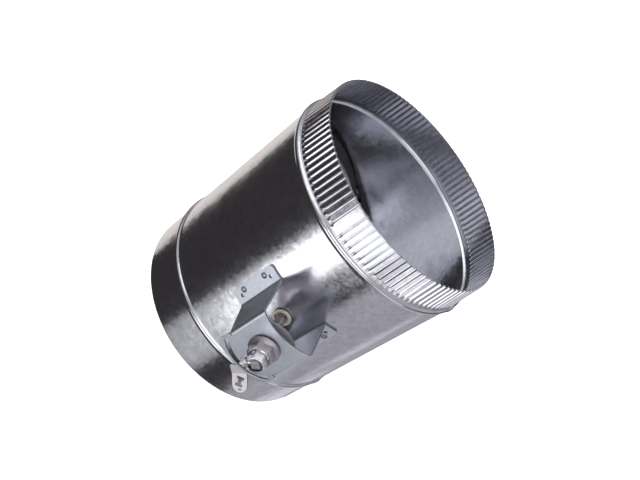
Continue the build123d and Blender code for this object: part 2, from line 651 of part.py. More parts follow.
def lever():
    """Indicator lever: disc round the hub, arm out past the plate, and the finger tab."""
    arm = Pos(0, -LEVER_ARM_LENGTH / 2) * Rectangle(LEVER_ARM_WIDTH, LEVER_ARM_LENGTH)
    root = Pos(-TAB_SIDE, -TAB_BEND_AT + TAB_ROOT / 2) * Rectangle(TAB_WIDTH, TAB_ROOT)
    root = fillet(root.vertices().group_by(Axis.Y)[-1], TAB_ROOT_CORNER)
    blank = Circle(LEVER_DISC_RADIUS) + Rot(0, 0, -LEVER_ARM_ANGLE) * arm + root
    blank -= Circle(HUB_RADIUS + HOLE_CLEARANCE)
    blank -= stop_pin_spot() * Circle(STOP_PIN_RADIUS + HOLE_CLEARANCE)
    below_bend = Pos(-TAB_SIDE, -TAB_BEND_AT - TAB_LENGTH / 2) * Rectangle(2 * TAB_WIDTH, TAB_LENGTH)
    return outward(blank - below_bend, LEVER_UNDER, LEVER_TOP) + finger_tab()


def stop_pin_spot():
    """Where the stop pin stands on the arm, under the slot."""
    return Rot(0, 0, -LEVER_ARM_ANGLE) * Pos(0, -SLOT_RADIUS)


def stop_pin():
    """Pin riveted into the arm; it runs in the slot and ends just below the plate's face."""
    head = outward(stop_pin_spot() * Circle(STOP_PIN_HEAD_RADIUS), LEVER_UNDER - STOP_PIN_HEAD, LEVER_UNDER)
    shank = stop_pin_spot() * Circle(STOP_PIN_RADIUS)
    return head + outward(shank, LEVER_UNDER, PLATE_REACH - STOP_PIN_DROP)


def friction_washer():
    """Nylon washer on the lever."""
    inner = HUB_RADIUS + PLATE_HOLE_CLEARANCE
    return collar(WASHER_RADIUS, inner, LEVER_TOP, LEVER_TOP + WASHER_THICKNESS)


def spring_washer():
    """Cone spring that keeps the lever snug under the plate."""
    base = LEVER_TOP + WASHER_THICKNESS
    inner = HUB_RADIUS + PLATE_HOLE_CLEARANCE
    return turned_profile([
        (SPRING_RADIUS, base),
        (SPRING_RADIUS, base + SPRING_SHEET),
        (inner, PLATE_UNDER),
        (inner, PLATE_UNDER - SPRING_SHEET),
    ])


def nut_washer():
    """Plain washer between the plate and the lock nut."""
    return collar(NUT_WASHER_RADIUS, HUB_RADIUS + PLATE_HOLE_CLEARANCE, PLATE_REACH, PLATE_REACH + NUT_WASHER)


def lock_nut():
    """Flanged nut: round flange, cone and chamfered hexagon."""
    bore = HUB_RADIUS + NUT_CLEARANCE
    corner = NUT_HEX / 2 / cos(pi / 6)
    skirt = turned_profile([
        (0, NUT_BASE),
        (NUT_FLANGE_RADIUS, NUT_BASE),
        (NUT_FLANGE_RADIUS, NUT_BASE + NUT_FLANGE),
        (NUT_HEX / 2, NUT_BASE + NUT_FLANGE + NUT_CONE),
        (0, NUT_BASE + NUT_FLANGE + NUT_CONE),
    ])
    crown = turned_profile([
        (0, NUT_BASE),
        (corner, NUT_BASE),
        (corner, NUT_TOP - NUT_CHAMFER),
        (NUT_HEX / 2 - NUT_CHAMFER / 4, NUT_TOP),
        (0, NUT_TOP),
    ])
    body = skirt + (outward(hexagon(NUT_HEX), NUT_BASE, NUT_TOP) & crown)
    return body - disc(bore, NUT_BASE - CUT_MARGIN, NUT_TOP + CUT_MARGIN)


# ---------------------------------------------------------------- all pieces
def behind(part):
    """Copy of a front piece on the far side of the casing."""
    return mirror(part, Plane.XZ)


FIXED = {
    "duct_casing": duct_casing,
    "standoff_bracket": standoff_bracket,
    "bracket_rivets": bracket_rivets,
    "front_bearing": front_bearing,
    "front_bearing_seal": bearing_seal,
    "front_bearing_clip": bearing_clip,
    "rear_bearing": rear_bearing,
    "rear_bearing_seal": lambda: behind(bearing_seal()),
    "rear_bearing_clip": lambda: behind(bearing_clip()),
    "nut_washer": nut_washer,
}

TURNING = {
    "blade_shaft": blade_shaft,
    "blade_plate": lambda: blade_disc(BLADE_PLATE_RADIUS, BLADE_FACE, GASKET_FACE),
    "blade_gasket": blade_gasket,
    "clamp_plate": lambda: blade_disc(CLAMP_PLATE_RADIUS, CLAMP_FACE, STACK_FACE),
    "blade_rivets": blade_rivets,
    "shaft_straps": shaft_straps,
    "strap_bolts": lambda: at_strap_bolts(strap_bolt()),
    "strap_nuts": lambda: at_strap_bolts(strap_nut()),
    "hub": hub,
    "set_screw": set_screw,
    "lever": lever,
    "stop_pin": stop_pin,
    "friction_washer": friction_washer,
    "spring_washer": spring_washer,
    "lock_nut": lock_nut,
}

os.makedirs("parts", exist_ok=True)
for name, build in FIXED.items():
    export_step(build(), f"parts/{name}.step")
for name, build in TURNING.items():
    export_step(turned(build()), f"parts/{name}.step")
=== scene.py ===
import logging
import math
from dataclasses import dataclass, field
from enum import Enum
from typing import Callable, Sequence

import bmesh
import bpy
from mathutils import Matrix, Vector


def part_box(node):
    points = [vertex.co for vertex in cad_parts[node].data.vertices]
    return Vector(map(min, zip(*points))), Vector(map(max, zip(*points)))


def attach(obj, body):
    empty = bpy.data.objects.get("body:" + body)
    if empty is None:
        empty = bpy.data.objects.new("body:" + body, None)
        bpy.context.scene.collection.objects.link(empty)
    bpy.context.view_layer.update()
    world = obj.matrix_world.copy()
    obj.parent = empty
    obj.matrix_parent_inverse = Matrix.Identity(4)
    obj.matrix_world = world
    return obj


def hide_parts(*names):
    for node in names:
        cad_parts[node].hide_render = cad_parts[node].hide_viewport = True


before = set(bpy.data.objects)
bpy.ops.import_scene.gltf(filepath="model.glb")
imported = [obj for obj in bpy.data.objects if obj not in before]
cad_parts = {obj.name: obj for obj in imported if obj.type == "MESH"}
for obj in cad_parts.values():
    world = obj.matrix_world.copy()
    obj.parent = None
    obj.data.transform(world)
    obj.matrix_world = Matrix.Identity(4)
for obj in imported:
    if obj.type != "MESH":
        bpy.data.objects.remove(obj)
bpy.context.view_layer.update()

# Looks of a round volume control damper: rolled casing, rubber-sealed blade and hand regulator.
# Sizes below are millimetres; a finished mesh is in metres. A "reach" runs from the duct axis
# towards the regulator, which is -Y, and an angle round the duct starts there and grows to +X.

MM = 0.001
LOG = logging.getLogger("damper")
SHAFT_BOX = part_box("blade_shaft")
SHAFT_HEIGHT = (SHAFT_BOX[0][2] + SHAFT_BOX[1][2]) / 2 / MM
REST_ANGLE = 55.0          # how far the blade is turned from fully open, in degrees
SAME_POINT = 1e-4          # points closer than this are one
CUT_NEAR = 1e-5            # points this close to a cut lie on it
COPY_MERGE = 1e-3          # points of neighbouring copies closer than this are one
STRAIGHT = 178.0           # a corner that opens wider than this, in degrees, isn't rounded
CUT_EDGE = 1               # material index of a sheet's cut edge
EDGE_RISE = 0.5            # a face whose normal rises less than this is part of a cut edge
NO_COPY = -5               # stands for no copy where a tree asks for a copy's number
CHAMFER_STEPS = 6          # rings of a hexagon's turned chamfer, after the first
CHAMFER_BULGE = 1.4        # 1 would make that chamfer a plain cone
Point = tuple[float, float]
Triple = tuple[float, float, float]
Radius = Callable[[float], float]


class Body(Enum):
    """Moving bodies that a piece can ride on."""

    CASING = "casing"
    BLADE = "blade"
    LOCK_NUT = "lock_nut"


class Surface(Enum):
    """How a finish is made."""

    METAL = "metal"
    PLASTIC = "plastic"


# ---------------------------------------------------------------- frames
def frame_matrix(x: Sequence[float], y: Sequence[float], z: Sequence[float]) -> Matrix:
    """Matrix from three axes, with its origin on the shaft axis.

    Args:
        x: Where local x points.
        y: Where local y points.
        z: Where local z points.

    Returns:
        The 4 by 4 matrix, in millimetres.
    """
    rows = [[x[i], y[i], z[i], 0.0] for i in range(3)]
    turn = Matrix(rows + [[0.0, 0.0, 0.0, 1.0]])
    return Matrix.Translation((0, 0, SHAFT_HEIGHT)) @ turn


OUTWARD = frame_matrix((1, 0, 0), (0, 0, 1), (0, -1, 0))
BEHIND = frame_matrix((-1, 0, 0), (0, 0, 1), (0, 1, 0))
OPEN_BLADE = frame_matrix((0, 1, 0), (0, 0, 1), (1, 0, 0))
TURNED = (
    Matrix.Translation((0, 0, SHAFT_HEIGHT))
    @ Matrix.Rotation(math.radians(-REST_ANGLE), 4, "Y")
    @ Matrix.Translation((0, 0, -SHAFT_HEIGHT))
)


# ---------------------------------------------------------------- outlines
def circle(radius: float, middle: Point = (0.0, 0.0), steps: int = 96) -> list[Point]:
    """Closed circle as a loop of points.

    Args:
        radius: Its radius.
        middle: Its middle.
        steps: Number of points.

    Returns:
        The points, anticlockwise.
    """
    turn = 2 * math.pi / steps
    return [
        (middle[0] + radius * math.cos(i * turn), middle[1] + radius * math.sin(i * turn))
        for i in range(steps)
    ]


def arc(
    radius: float, start: float, end: float, steps: int, middle: Point = (0.0, 0.0)
) -> list[Point]:
    """Points along an arc between two angles in degrees, both ends included.

    Args:
        radius: Its radius.
        start: Angle of the first point.
        end: Angle of the last point.
        steps: Number of equal parts.
        middle: Its middle.

    Returns:
        The points in order.
    """
    points = []
    for i in range(steps + 1):
        angle = math.radians(start + (end - start) * i / steps)
        points.append((middle[0] + radius * math.cos(angle), middle[1] + radius * math.sin(angle)))
    return points


def rounded(corners: Sequence[Triple], steps: int = 6) -> list[Point]:
    """Loop through corners, each rounded with its own radius.

    Args:
        corners: x, y and radius of each corner; a radius of 0 keeps it sharp.
        steps: Points in a rounded corner.

    Returns:
        The closed loop as points.
    """
    loop: list[Point] = []
    count = len(corners)
    for i, (x, y, radius) in enumerate(corners):
        here = Vector((x, y))
        back = (Vector(corners[i - 1][:2]) - here).normalized()
        ahead = (Vector(corners[(i + 1) % count][:2]) - here).normalized()
        opening = back.angle(ahead)
        if radius <= 0 or opening > math.radians(STRAIGHT):
            loop.append((x, y))
            continue
        run = radius / math.tan(opening / 2)
        first, last = here + back * run, here + ahead * run
        for j in range(steps + 1):
            t = j / steps
            point = first * (1 - t) ** 2 + here * 2 * t * (1 - t) + last * t ** 2
            loop.append((point.x, point.y))
    return loop


def mirrored(points: Sequence[Point]) -> list[Point]:
    """Points with their x turned over, in the opposite order."""
    return [(-x, y) for x, y in reversed(points)]


def hexagon_radius(angle: float, across: float, corner: float = 0.3) -> float:
    """Distance from the middle of a hexagon to its side at an angle.

    Args:
        angle: Direction in radians; a flat faces angle 0.
        across: Size across flats.
        corner: How much each corner is worn down.

    Returns:
        The radius at that angle.
    """
    sector = math.radians(60)
    local = (angle + sector / 2) % sector - sector / 2
    return min(across / 2 / math.cos(local), across / math.sqrt(3) - corner)


# ---------------------------------------------------------------- meshes
def turn_outwards(form: bmesh.types.BMesh) -> None:
    """Turn all the faces round where together they look inwards."""
    if form.calc_volume(signed=True) < 0:
        bmesh.ops.reverse_faces(form, faces=form.faces)


def mesh_from(
    points: Sequence[Sequence[float]], faces: Sequence[Sequence[int]]
) -> bpy.types.Mesh:
    """Closed mesh with merged points and faces that look outwards.

    Args:
        points: Corner points.
        faces: Faces as point numbers.

    Returns:
        The mesh.
    """
    mesh = bpy.data.meshes.new("shape")
    mesh.from_pydata([tuple(p) for p in points], [], [tuple(f) for f in faces])
    form = bmesh.new()
    form.from_mesh(mesh)
    bmesh.ops.remove_doubles(form, verts=form.verts, dist=SAME_POINT)
    turn_outwards(form)
    form.to_mesh(mesh)
    form.free()
    return mesh


def ring_faces(steps: int, count: int) -> list[tuple[int, int, int, int]]:
    """Faces between each loop of points and the next, all the way round.

    Args:
        steps: Number of loops round the axis.
        count: Points in a loop.

    Returns:
        The faces as point numbers.
    """
    faces = []
    for i in range(steps):
        n = (i + 1) % steps
        for j in range(count):
            k = (j + 1) % count
            faces.append((i * count + j, n * count + j, n * count + k, i * count + k))
    return faces


def lathe(profile: Sequence[Point], steps: int = 96) -> bpy.types.Mesh:
    """Ring turned from a closed loop of radius and height.

    Args:
        profile: Closed loop of (radius, height).
        steps: Divisions round the axis.

    Returns:
        The mesh about local z.
    """
    points = []
    for i in range(steps):
        angle = 2 * math.pi * i / steps
        points += [(r * math.cos(angle), r * math.sin(angle), h) for r, h in profile]
    return mesh_from(points, ring_faces(steps, len(profile)))


def polar_solid(
    rings: Sequence[tuple[float, Radius]], hole: Radius, steps: int = 96
) -> bpy.types.Mesh:
    """Solid whose outline changes with height, round a straight hole.

    Args:
        rings: Height and outer radius by angle, from the bottom up.
        hole: Radius of the hole by angle.
        steps: Divisions round the axis.

    Returns:
        The mesh about local z.
    """
    points = []
    low, high = rings[0][0], rings[-1][0]
    for i in range(steps):
        angle = 2 * math.pi * i / steps
        loop = [(outer(angle), height) for height, outer in rings]
        loop += [(hole(angle), high), (hole(angle), low)]
        points += [(r * math.cos(angle), r * math.sin(angle), h) for r, h in loop]
    return mesh_from(points, ring_faces(steps, len(rings) + 2))


def chamfer_rings(
    across: float, top: float, height: float, inset: float = 0.5, corner: float = 0.3
) -> list[tuple[float, Radius]]:
    """Rings of the turned chamfer on top of a hexagon.

    Args:
        across: Size across flats.
        top: Height of the hexagon's top.
        height: Height of the chamfer at the corners.
        inset: How far the top circle lies inside the flats.
        corner: How much each corner is worn down.

    Returns:
        Height and outer radius by angle, from the bottom up.
    """
    widest = across / math.sqrt(3)
    rings: list[tuple[float, Radius]] = []
    for step in range(CHAMFER_STEPS + 1):
        t = step / CHAMFER_STEPS
        limit = widest - (widest - across / 2 + inset) * t ** CHAMFER_BULGE
        rings.append((
            top - height * (1 - t),
            lambda a, most=limit: min(hexagon_radius(a, across, corner), most),
        ))
    return rings


def hexagon_body(
    across: float, low: float, high: float, chamfer: float, hole: Radius
) -> bpy.types.Mesh:
    """Hexagon with a turned chamfer on top.

    Args:
        across: Size across flats.
        low: Height of its base.
        high: Height of its top.
        chamfer: Height of the chamfer at the corners.
        hole: Radius of the hole by angle.

    Returns:
        The mesh about local z.
    """
    base = (low, lambda a: hexagon_radius(a, across))
    return polar_solid([base, *chamfer_rings(across, high, chamfer)], hole)


def sheet(loops: Sequence[Sequence[Point]], thickness: float, edge: float) -> bpy.types.Mesh:
    """Flat plate with rounded edges from an outline and its holes.

    Args:
        loops: The outline, then each hole.
        thickness: Sheet thickness.
        edge: Radius of the rounded edges.

    Returns:
        The mesh, its middle at height 0.
    """
    line = bpy.data.curves.new("outline", "CURVE")
    line.dimensions = "2D"
    line.fill_mode = "BOTH"
    line.extrude = thickness / 2 - edge
    line.bevel_depth = edge
    line.bevel_resolution = 1
    line.offset = -edge
    for loop in loops:
        spline = line.splines.new("POLY")
        spline.points.add(len(loop) - 1)
        for point, (x, y) in zip(spline.points, loop):
            point.co = (x, y, 0.0, 1.0)
        spline.use_cyclic_u = True
    holder = bpy.data.objects.new("outline", line)
    mesh = bpy.data.meshes.new_from_object(holder)
    bpy.data.objects.remove(holder)
    bpy.data.curves.remove(line)
    form = bmesh.new()
    form.from_mesh(mesh)
    bmesh.ops.remove_doubles(form, verts=form.verts, dist=SAME_POINT)
    bmesh.ops.recalc_face_normals(form, faces=form.faces)
    turn_outwards(form)
    for face in form.faces:
        face.material_index = CUT_EDGE if abs(face.normal.z) < EDGE_RISE else 0
    form.to_mesh(mesh)
    form.free()
    return mesh


def cut_lines(mesh: bpy.types.Mesh, axis: int, places: Sequence[float]) -> None:
    """Divide a mesh across one axis so that it can be bent there.

    Args:
        mesh: Mesh that is divided in place.
        axis: Axis that the cuts are square to, 0 for x and 1 for y.
        places: Places of the cuts along that axis.
    """
    form = bmesh.new()
    form.from_mesh(mesh)
    normal = Vector((0, 0, 0))
    normal[axis] = 1.0
    for place in places:
        geometry = [*form.verts, *form.edges, *form.faces]
        bmesh.ops.bisect_plane(
            form, geom=geometry, plane_co=normal * place, plane_no=normal, dist=CUT_NEAR
        )
    bmesh.ops.remove_doubles(form, verts=form.verts, dist=SAME_POINT)
    form.to_mesh(mesh)
    form.free()


def join(meshes: Sequence[bpy.types.Mesh], merge: float = 0.0) -> bpy.types.Mesh:
    """One mesh from several, merging points closer than a distance where one is given.

    Args:
        meshes: The meshes.
        merge: The distance, or 0 to merge nothing.

    Returns:
        The joined mesh.
    """
    form = bmesh.new()
    for mesh in meshes:
        form.from_mesh(mesh)
    if merge:
        bmesh.ops.remove_doubles(form, verts=form.verts, dist=merge)
    whole = bpy.data.meshes.new("shape")
    form.to_mesh(whole)
    form.free()
    return whole


def bake_modifiers(piece: bpy.types.Object) -> None:
    """Replace a piece's mesh by its evaluated one and drop its modifiers.

    Args:
        piece: The piece.
    """
    graph = bpy.context.evaluated_depsgraph_get()
    graph.update()
    mesh = bpy.data.meshes.new_from_object(piece.evaluated_get(graph))
    piece.modifiers.clear()
    piece.data = mesh


def add_piece(
    name: str,
    mesh: bpy.types.Mesh,
    place: Matrix,
    body: Body,
    finish: "Finish",
    node: str | None,
    smooth: float = 32.0,
    edge: "Finish | None" = None,
) -> bpy.types.Object:
    """Put a shape in its place, dress it and tie it to its body.

    Args:
        name: Name of the piece.
        mesh: Its shape in millimetres.
        place: Where the shape's frame lies.
        body: The body that it rides on.
        finish: Its finish.
        node: The solid that it stands for, if any.
        smooth: Edges sharper than this many degrees stay crisp.
        edge: Finish of the sheet's cut edges, where it differs.

    Returns:
        The finished object.
    """
    mesh.transform(Matrix.Scale(MM, 4) @ place)
    mesh.polygons.foreach_set("use_smooth", [True] * len(mesh.polygons))
    mesh.set_sharp_from_angle(angle=math.radians(smooth))
    zones = [face.material_index if edge else 0 for face in mesh.polygons]
    mesh.materials.clear()
    for part in (finish, edge) if edge else (finish,):
        mesh.materials.append(part.material())
    mesh.polygons.foreach_set("material_index", zones)
    piece = bpy.data.objects.new(name, mesh)
    bpy.context.scene.collection.objects.link(piece)
    weighted = piece.modifiers.new("even_normals", "WEIGHTED_NORMAL")
    weighted.keep_sharp = True
    bake_modifiers(piece)
    if node:
        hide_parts(node)
    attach(piece, body.value)
    LOG.info("%s: %d faces on %s", name, len(piece.data.polygons), body.value)
    return piece


# ---------------------------------------------------------------- nodes
def worked_out(
    tree: bpy.types.NodeTree, kind: str, operation: str, *values: object
) -> bpy.types.NodeSocket:
    """Add a math node to a tree and return its result.

    Args:
        tree: The tree that gets the node.
        kind: "Math" or "VectorMath".
        operation: What the node works out.
        values: A socket, a plain value or None for each of its inputs in turn.

    Returns:
        The node's first output.
    """
    node = tree.nodes.new("ShaderNode" + kind)
    node.operation = operation
    for socket, value in zip(node.inputs, values):
        if isinstance(value, bpy.types.NodeSocket):
            tree.links.new(value, socket)
        elif value is not None:
            socket.default_value = value
    return node.outputs[0]


def colour_sockets(sockets: Sequence[bpy.types.NodeSocket]) -> list[bpy.types.NodeSocket]:
    """The colour sockets of a Mix node, which has one set for each kind of value."""
    return [socket for socket in sockets if socket.type == "RGBA"]


# ---------------------------------------------------------------- repeats
class Repeats:
    """Geometry node trees that copy a small shape."""

    _ring: bpy.types.NodeTree | None = None
    _grid: bpy.types.NodeTree | None = None

    @staticmethod
    def _tree(name: str, sockets: Sequence[tuple[str, str]]) -> bpy.types.NodeTree:
        """New tree with a geometry socket at each end and these named inputs.

        Args:
            name: Name of the tree.
            sockets: Name and socket type of each input.

        Returns:
            The tree.
        """
        tree = bpy.data.node_groups.new(name, "GeometryNodeTree")
        tree.interface.new_socket("Geometry", in_out="INPUT", socket_type="NodeSocketGeometry")
        for label, kind in sockets:
            tree.interface.new_socket(label, in_out="INPUT", socket_type=kind)
        tree.interface.new_socket("Geometry", in_out="OUTPUT", socket_type="NodeSocketGeometry")
        return tree

    @staticmethod
    def _math(
        tree: bpy.types.NodeTree, operation: str, a: object, b: object = None
    ) -> bpy.types.NodeSocket:
        """Add a number's math node and return its result."""
        return worked_out(tree, "Math", operation, a, b)

    @staticmethod
    def _end(
        tree: bpy.types.NodeTree, copies: bpy.types.NodeSocket, given: bpy.types.Node
    ) -> None:
        """Make the copies real, merge them where they touch and give them their material.

        Args:
            tree: The tree.
            copies: Socket that gives the copies.
            given: The tree's input node.
        """
        real = tree.nodes.new("GeometryNodeRealizeInstances")
        merge = tree.nodes.new("GeometryNodeMergeByDistance")
        merge.inputs["Distance"].default_value = COPY_MERGE
        dress = tree.nodes.new("GeometryNodeSetMaterial")
        out = tree.nodes.new("NodeGroupOutput")
        tree.links.new(copies, real.inputs["Geometry"])
        tree.links.new(real.outputs["Geometry"], merge.inputs["Geometry"])
        tree.links.new(merge.outputs["Geometry"], dress.inputs["Geometry"])
        tree.links.new(given.outputs["Material"], dress.inputs["Material"])
        tree.links.new(dress.outputs["Geometry"], out.inputs["Geometry"])

    @classmethod
    def ring_tree(cls) -> bpy.types.NodeTree:
        """Tree that copies a shape round z, with a plain shape at chosen places.

        Returns:
            The tree, made the first time it is asked for.
        """
        if cls._ring:
            return cls._ring
        tree = cls._tree("copies_round_an_axis", [
            ("Plain Shape", "NodeSocketObject"), ("Count", "NodeSocketInt"),
            ("First Turn", "NodeSocketFloat"), ("First Plain", "NodeSocketInt"),
            ("Plain Count", "NodeSocketInt"), ("Spare Plain", "NodeSocketInt"),
            ("Material", "NodeSocketMaterial"),
        ])
        given = tree.nodes.new("NodeGroupInput")
        points = tree.nodes.new("GeometryNodePoints")
        index = tree.nodes.new("GeometryNodeInputIndex").outputs[0]
        tree.links.new(given.outputs["Count"], points.inputs["Count"])
        step = cls._math(tree, "DIVIDE", 2 * math.pi, given.outputs["Count"])
        turn = cls._math(tree, "MULTIPLY", index, step)
        turn = cls._math(tree, "ADD", turn, given.outputs["First Turn"])
        spin = tree.nodes.new("ShaderNodeCombineXYZ")
        tree.links.new(turn, spin.inputs["Z"])
        past = cls._math(tree, "SUBTRACT", index, given.outputs["First Plain"])
        from_first = cls._math(tree, "GREATER_THAN", past, -0.5)
        below = cls._math(tree, "SUBTRACT", given.outputs["Plain Count"], 0.5)
        before_last = cls._math(tree, "LESS_THAN", past, below)
        in_run = cls._math(tree, "MULTIPLY", from_first, before_last)
        away = cls._math(tree, "SUBTRACT", index, given.outputs["Spare Plain"])
        away = cls._math(tree, "ABSOLUTE", away)
        spare = cls._math(tree, "LESS_THAN", away, 0.5)
        plain = cls._math(tree, "MAXIMUM", in_run, spare)
        other = cls._math(tree, "SUBTRACT", 1.0, plain)
        info = tree.nodes.new("GeometryNodeObjectInfo")
        tree.links.new(given.outputs["Plain Shape"], info.inputs["Object"])
        both = tree.nodes.new("GeometryNodeJoinGeometry")
        for shape, chosen in (
            (given.outputs["Geometry"], other), (info.outputs["Geometry"], plain),
        ):
            copy = tree.nodes.new("GeometryNodeInstanceOnPoints")
            tree.links.new(points.outputs[0], copy.inputs["Points"])
            tree.links.new(shape, copy.inputs["Instance"])
            tree.links.new(chosen, copy.inputs["Selection"])
            tree.links.new(spin.outputs[0], copy.inputs["Rotation"])
            tree.links.new(copy.outputs[0], both.inputs[0])
        cls._end(tree, both.outputs[0], given)
        cls._ring = tree
        return tree

    @classmethod
    def grid_tree(cls) -> bpy.types.NodeTree:
        """Tree that copies a shape in rows and columns.

        Returns:
            The tree, made the first time it is asked for.
        """
        if cls._grid:
            return cls._grid
        tree = cls._tree("copies_in_rows", [
            ("Columns", "NodeSocketInt"), ("Rows", "NodeSocketInt"),
            ("Column Spacing", "NodeSocketFloat"), ("Row Spacing", "NodeSocketFloat"),
            ("Material", "NodeSocketMaterial"),
        ])
        given = tree.nodes.new("NodeGroupInput")
        columns, rows = given.outputs["Columns"], given.outputs["Rows"]
        points = tree.nodes.new("GeometryNodePoints")
        index = tree.nodes.new("GeometryNodeInputIndex").outputs[0]
        tree.links.new(cls._math(tree, "MULTIPLY", columns, rows), points.inputs["Count"])
        column = cls._math(tree, "FLOORED_MODULO", index, columns)
        row = cls._math(tree, "FLOOR", cls._math(tree, "DIVIDE", index, columns))
        spot = tree.nodes.new("ShaderNodeCombineXYZ")
        for place, number, total, spacing in (
            ("X", column, columns, "Column Spacing"), ("Y", row, rows, "Row Spacing"),
        ):
            middle = cls._math(tree, "MULTIPLY", cls._math(tree, "SUBTRACT", total, 1.0), 0.5)
            steps = cls._math(tree, "SUBTRACT", number, middle)
            distance = cls._math(tree, "MULTIPLY", steps, given.outputs[spacing])
            tree.links.new(distance, spot.inputs[place])
        tree.links.new(spot.outputs[0], points.inputs["Position"])
        copy = tree.nodes.new("GeometryNodeInstanceOnPoints")
        tree.links.new(points.outputs[0], copy.inputs["Points"])
        tree.links.new(given.outputs["Geometry"], copy.inputs["Instance"])
        cls._end(tree, copy.outputs[0], given)
        cls._grid = tree
        return tree

    @staticmethod
    def run(
        shape: bpy.types.Mesh, tree: bpy.types.NodeTree, values: dict[str, object]
    ) -> bpy.types.Mesh:
        """Run a tree on a shape.

        Args:
            shape: The shape that is copied.
            tree: The node tree.
            values: Its inputs by name.

        Returns:
            A plain mesh of all the copies.
        """
        holder = bpy.data.objects.new("repeat", shape)
        bpy.context.scene.collection.objects.link(holder)
        modifier = holder.modifiers.new("repeat", "NODES")
        modifier.node_group = tree
        for item in tree.interface.items_tree:
            if item.in_out == "INPUT" and item.name in values:
                modifier[item.identifier] = values[item.name]
        graph = bpy.context.evaluated_depsgraph_get()
        graph.update()
        mesh = bpy.data.meshes.new_from_object(holder.evaluated_get(graph))
        bpy.data.objects.remove(holder)
        return mesh


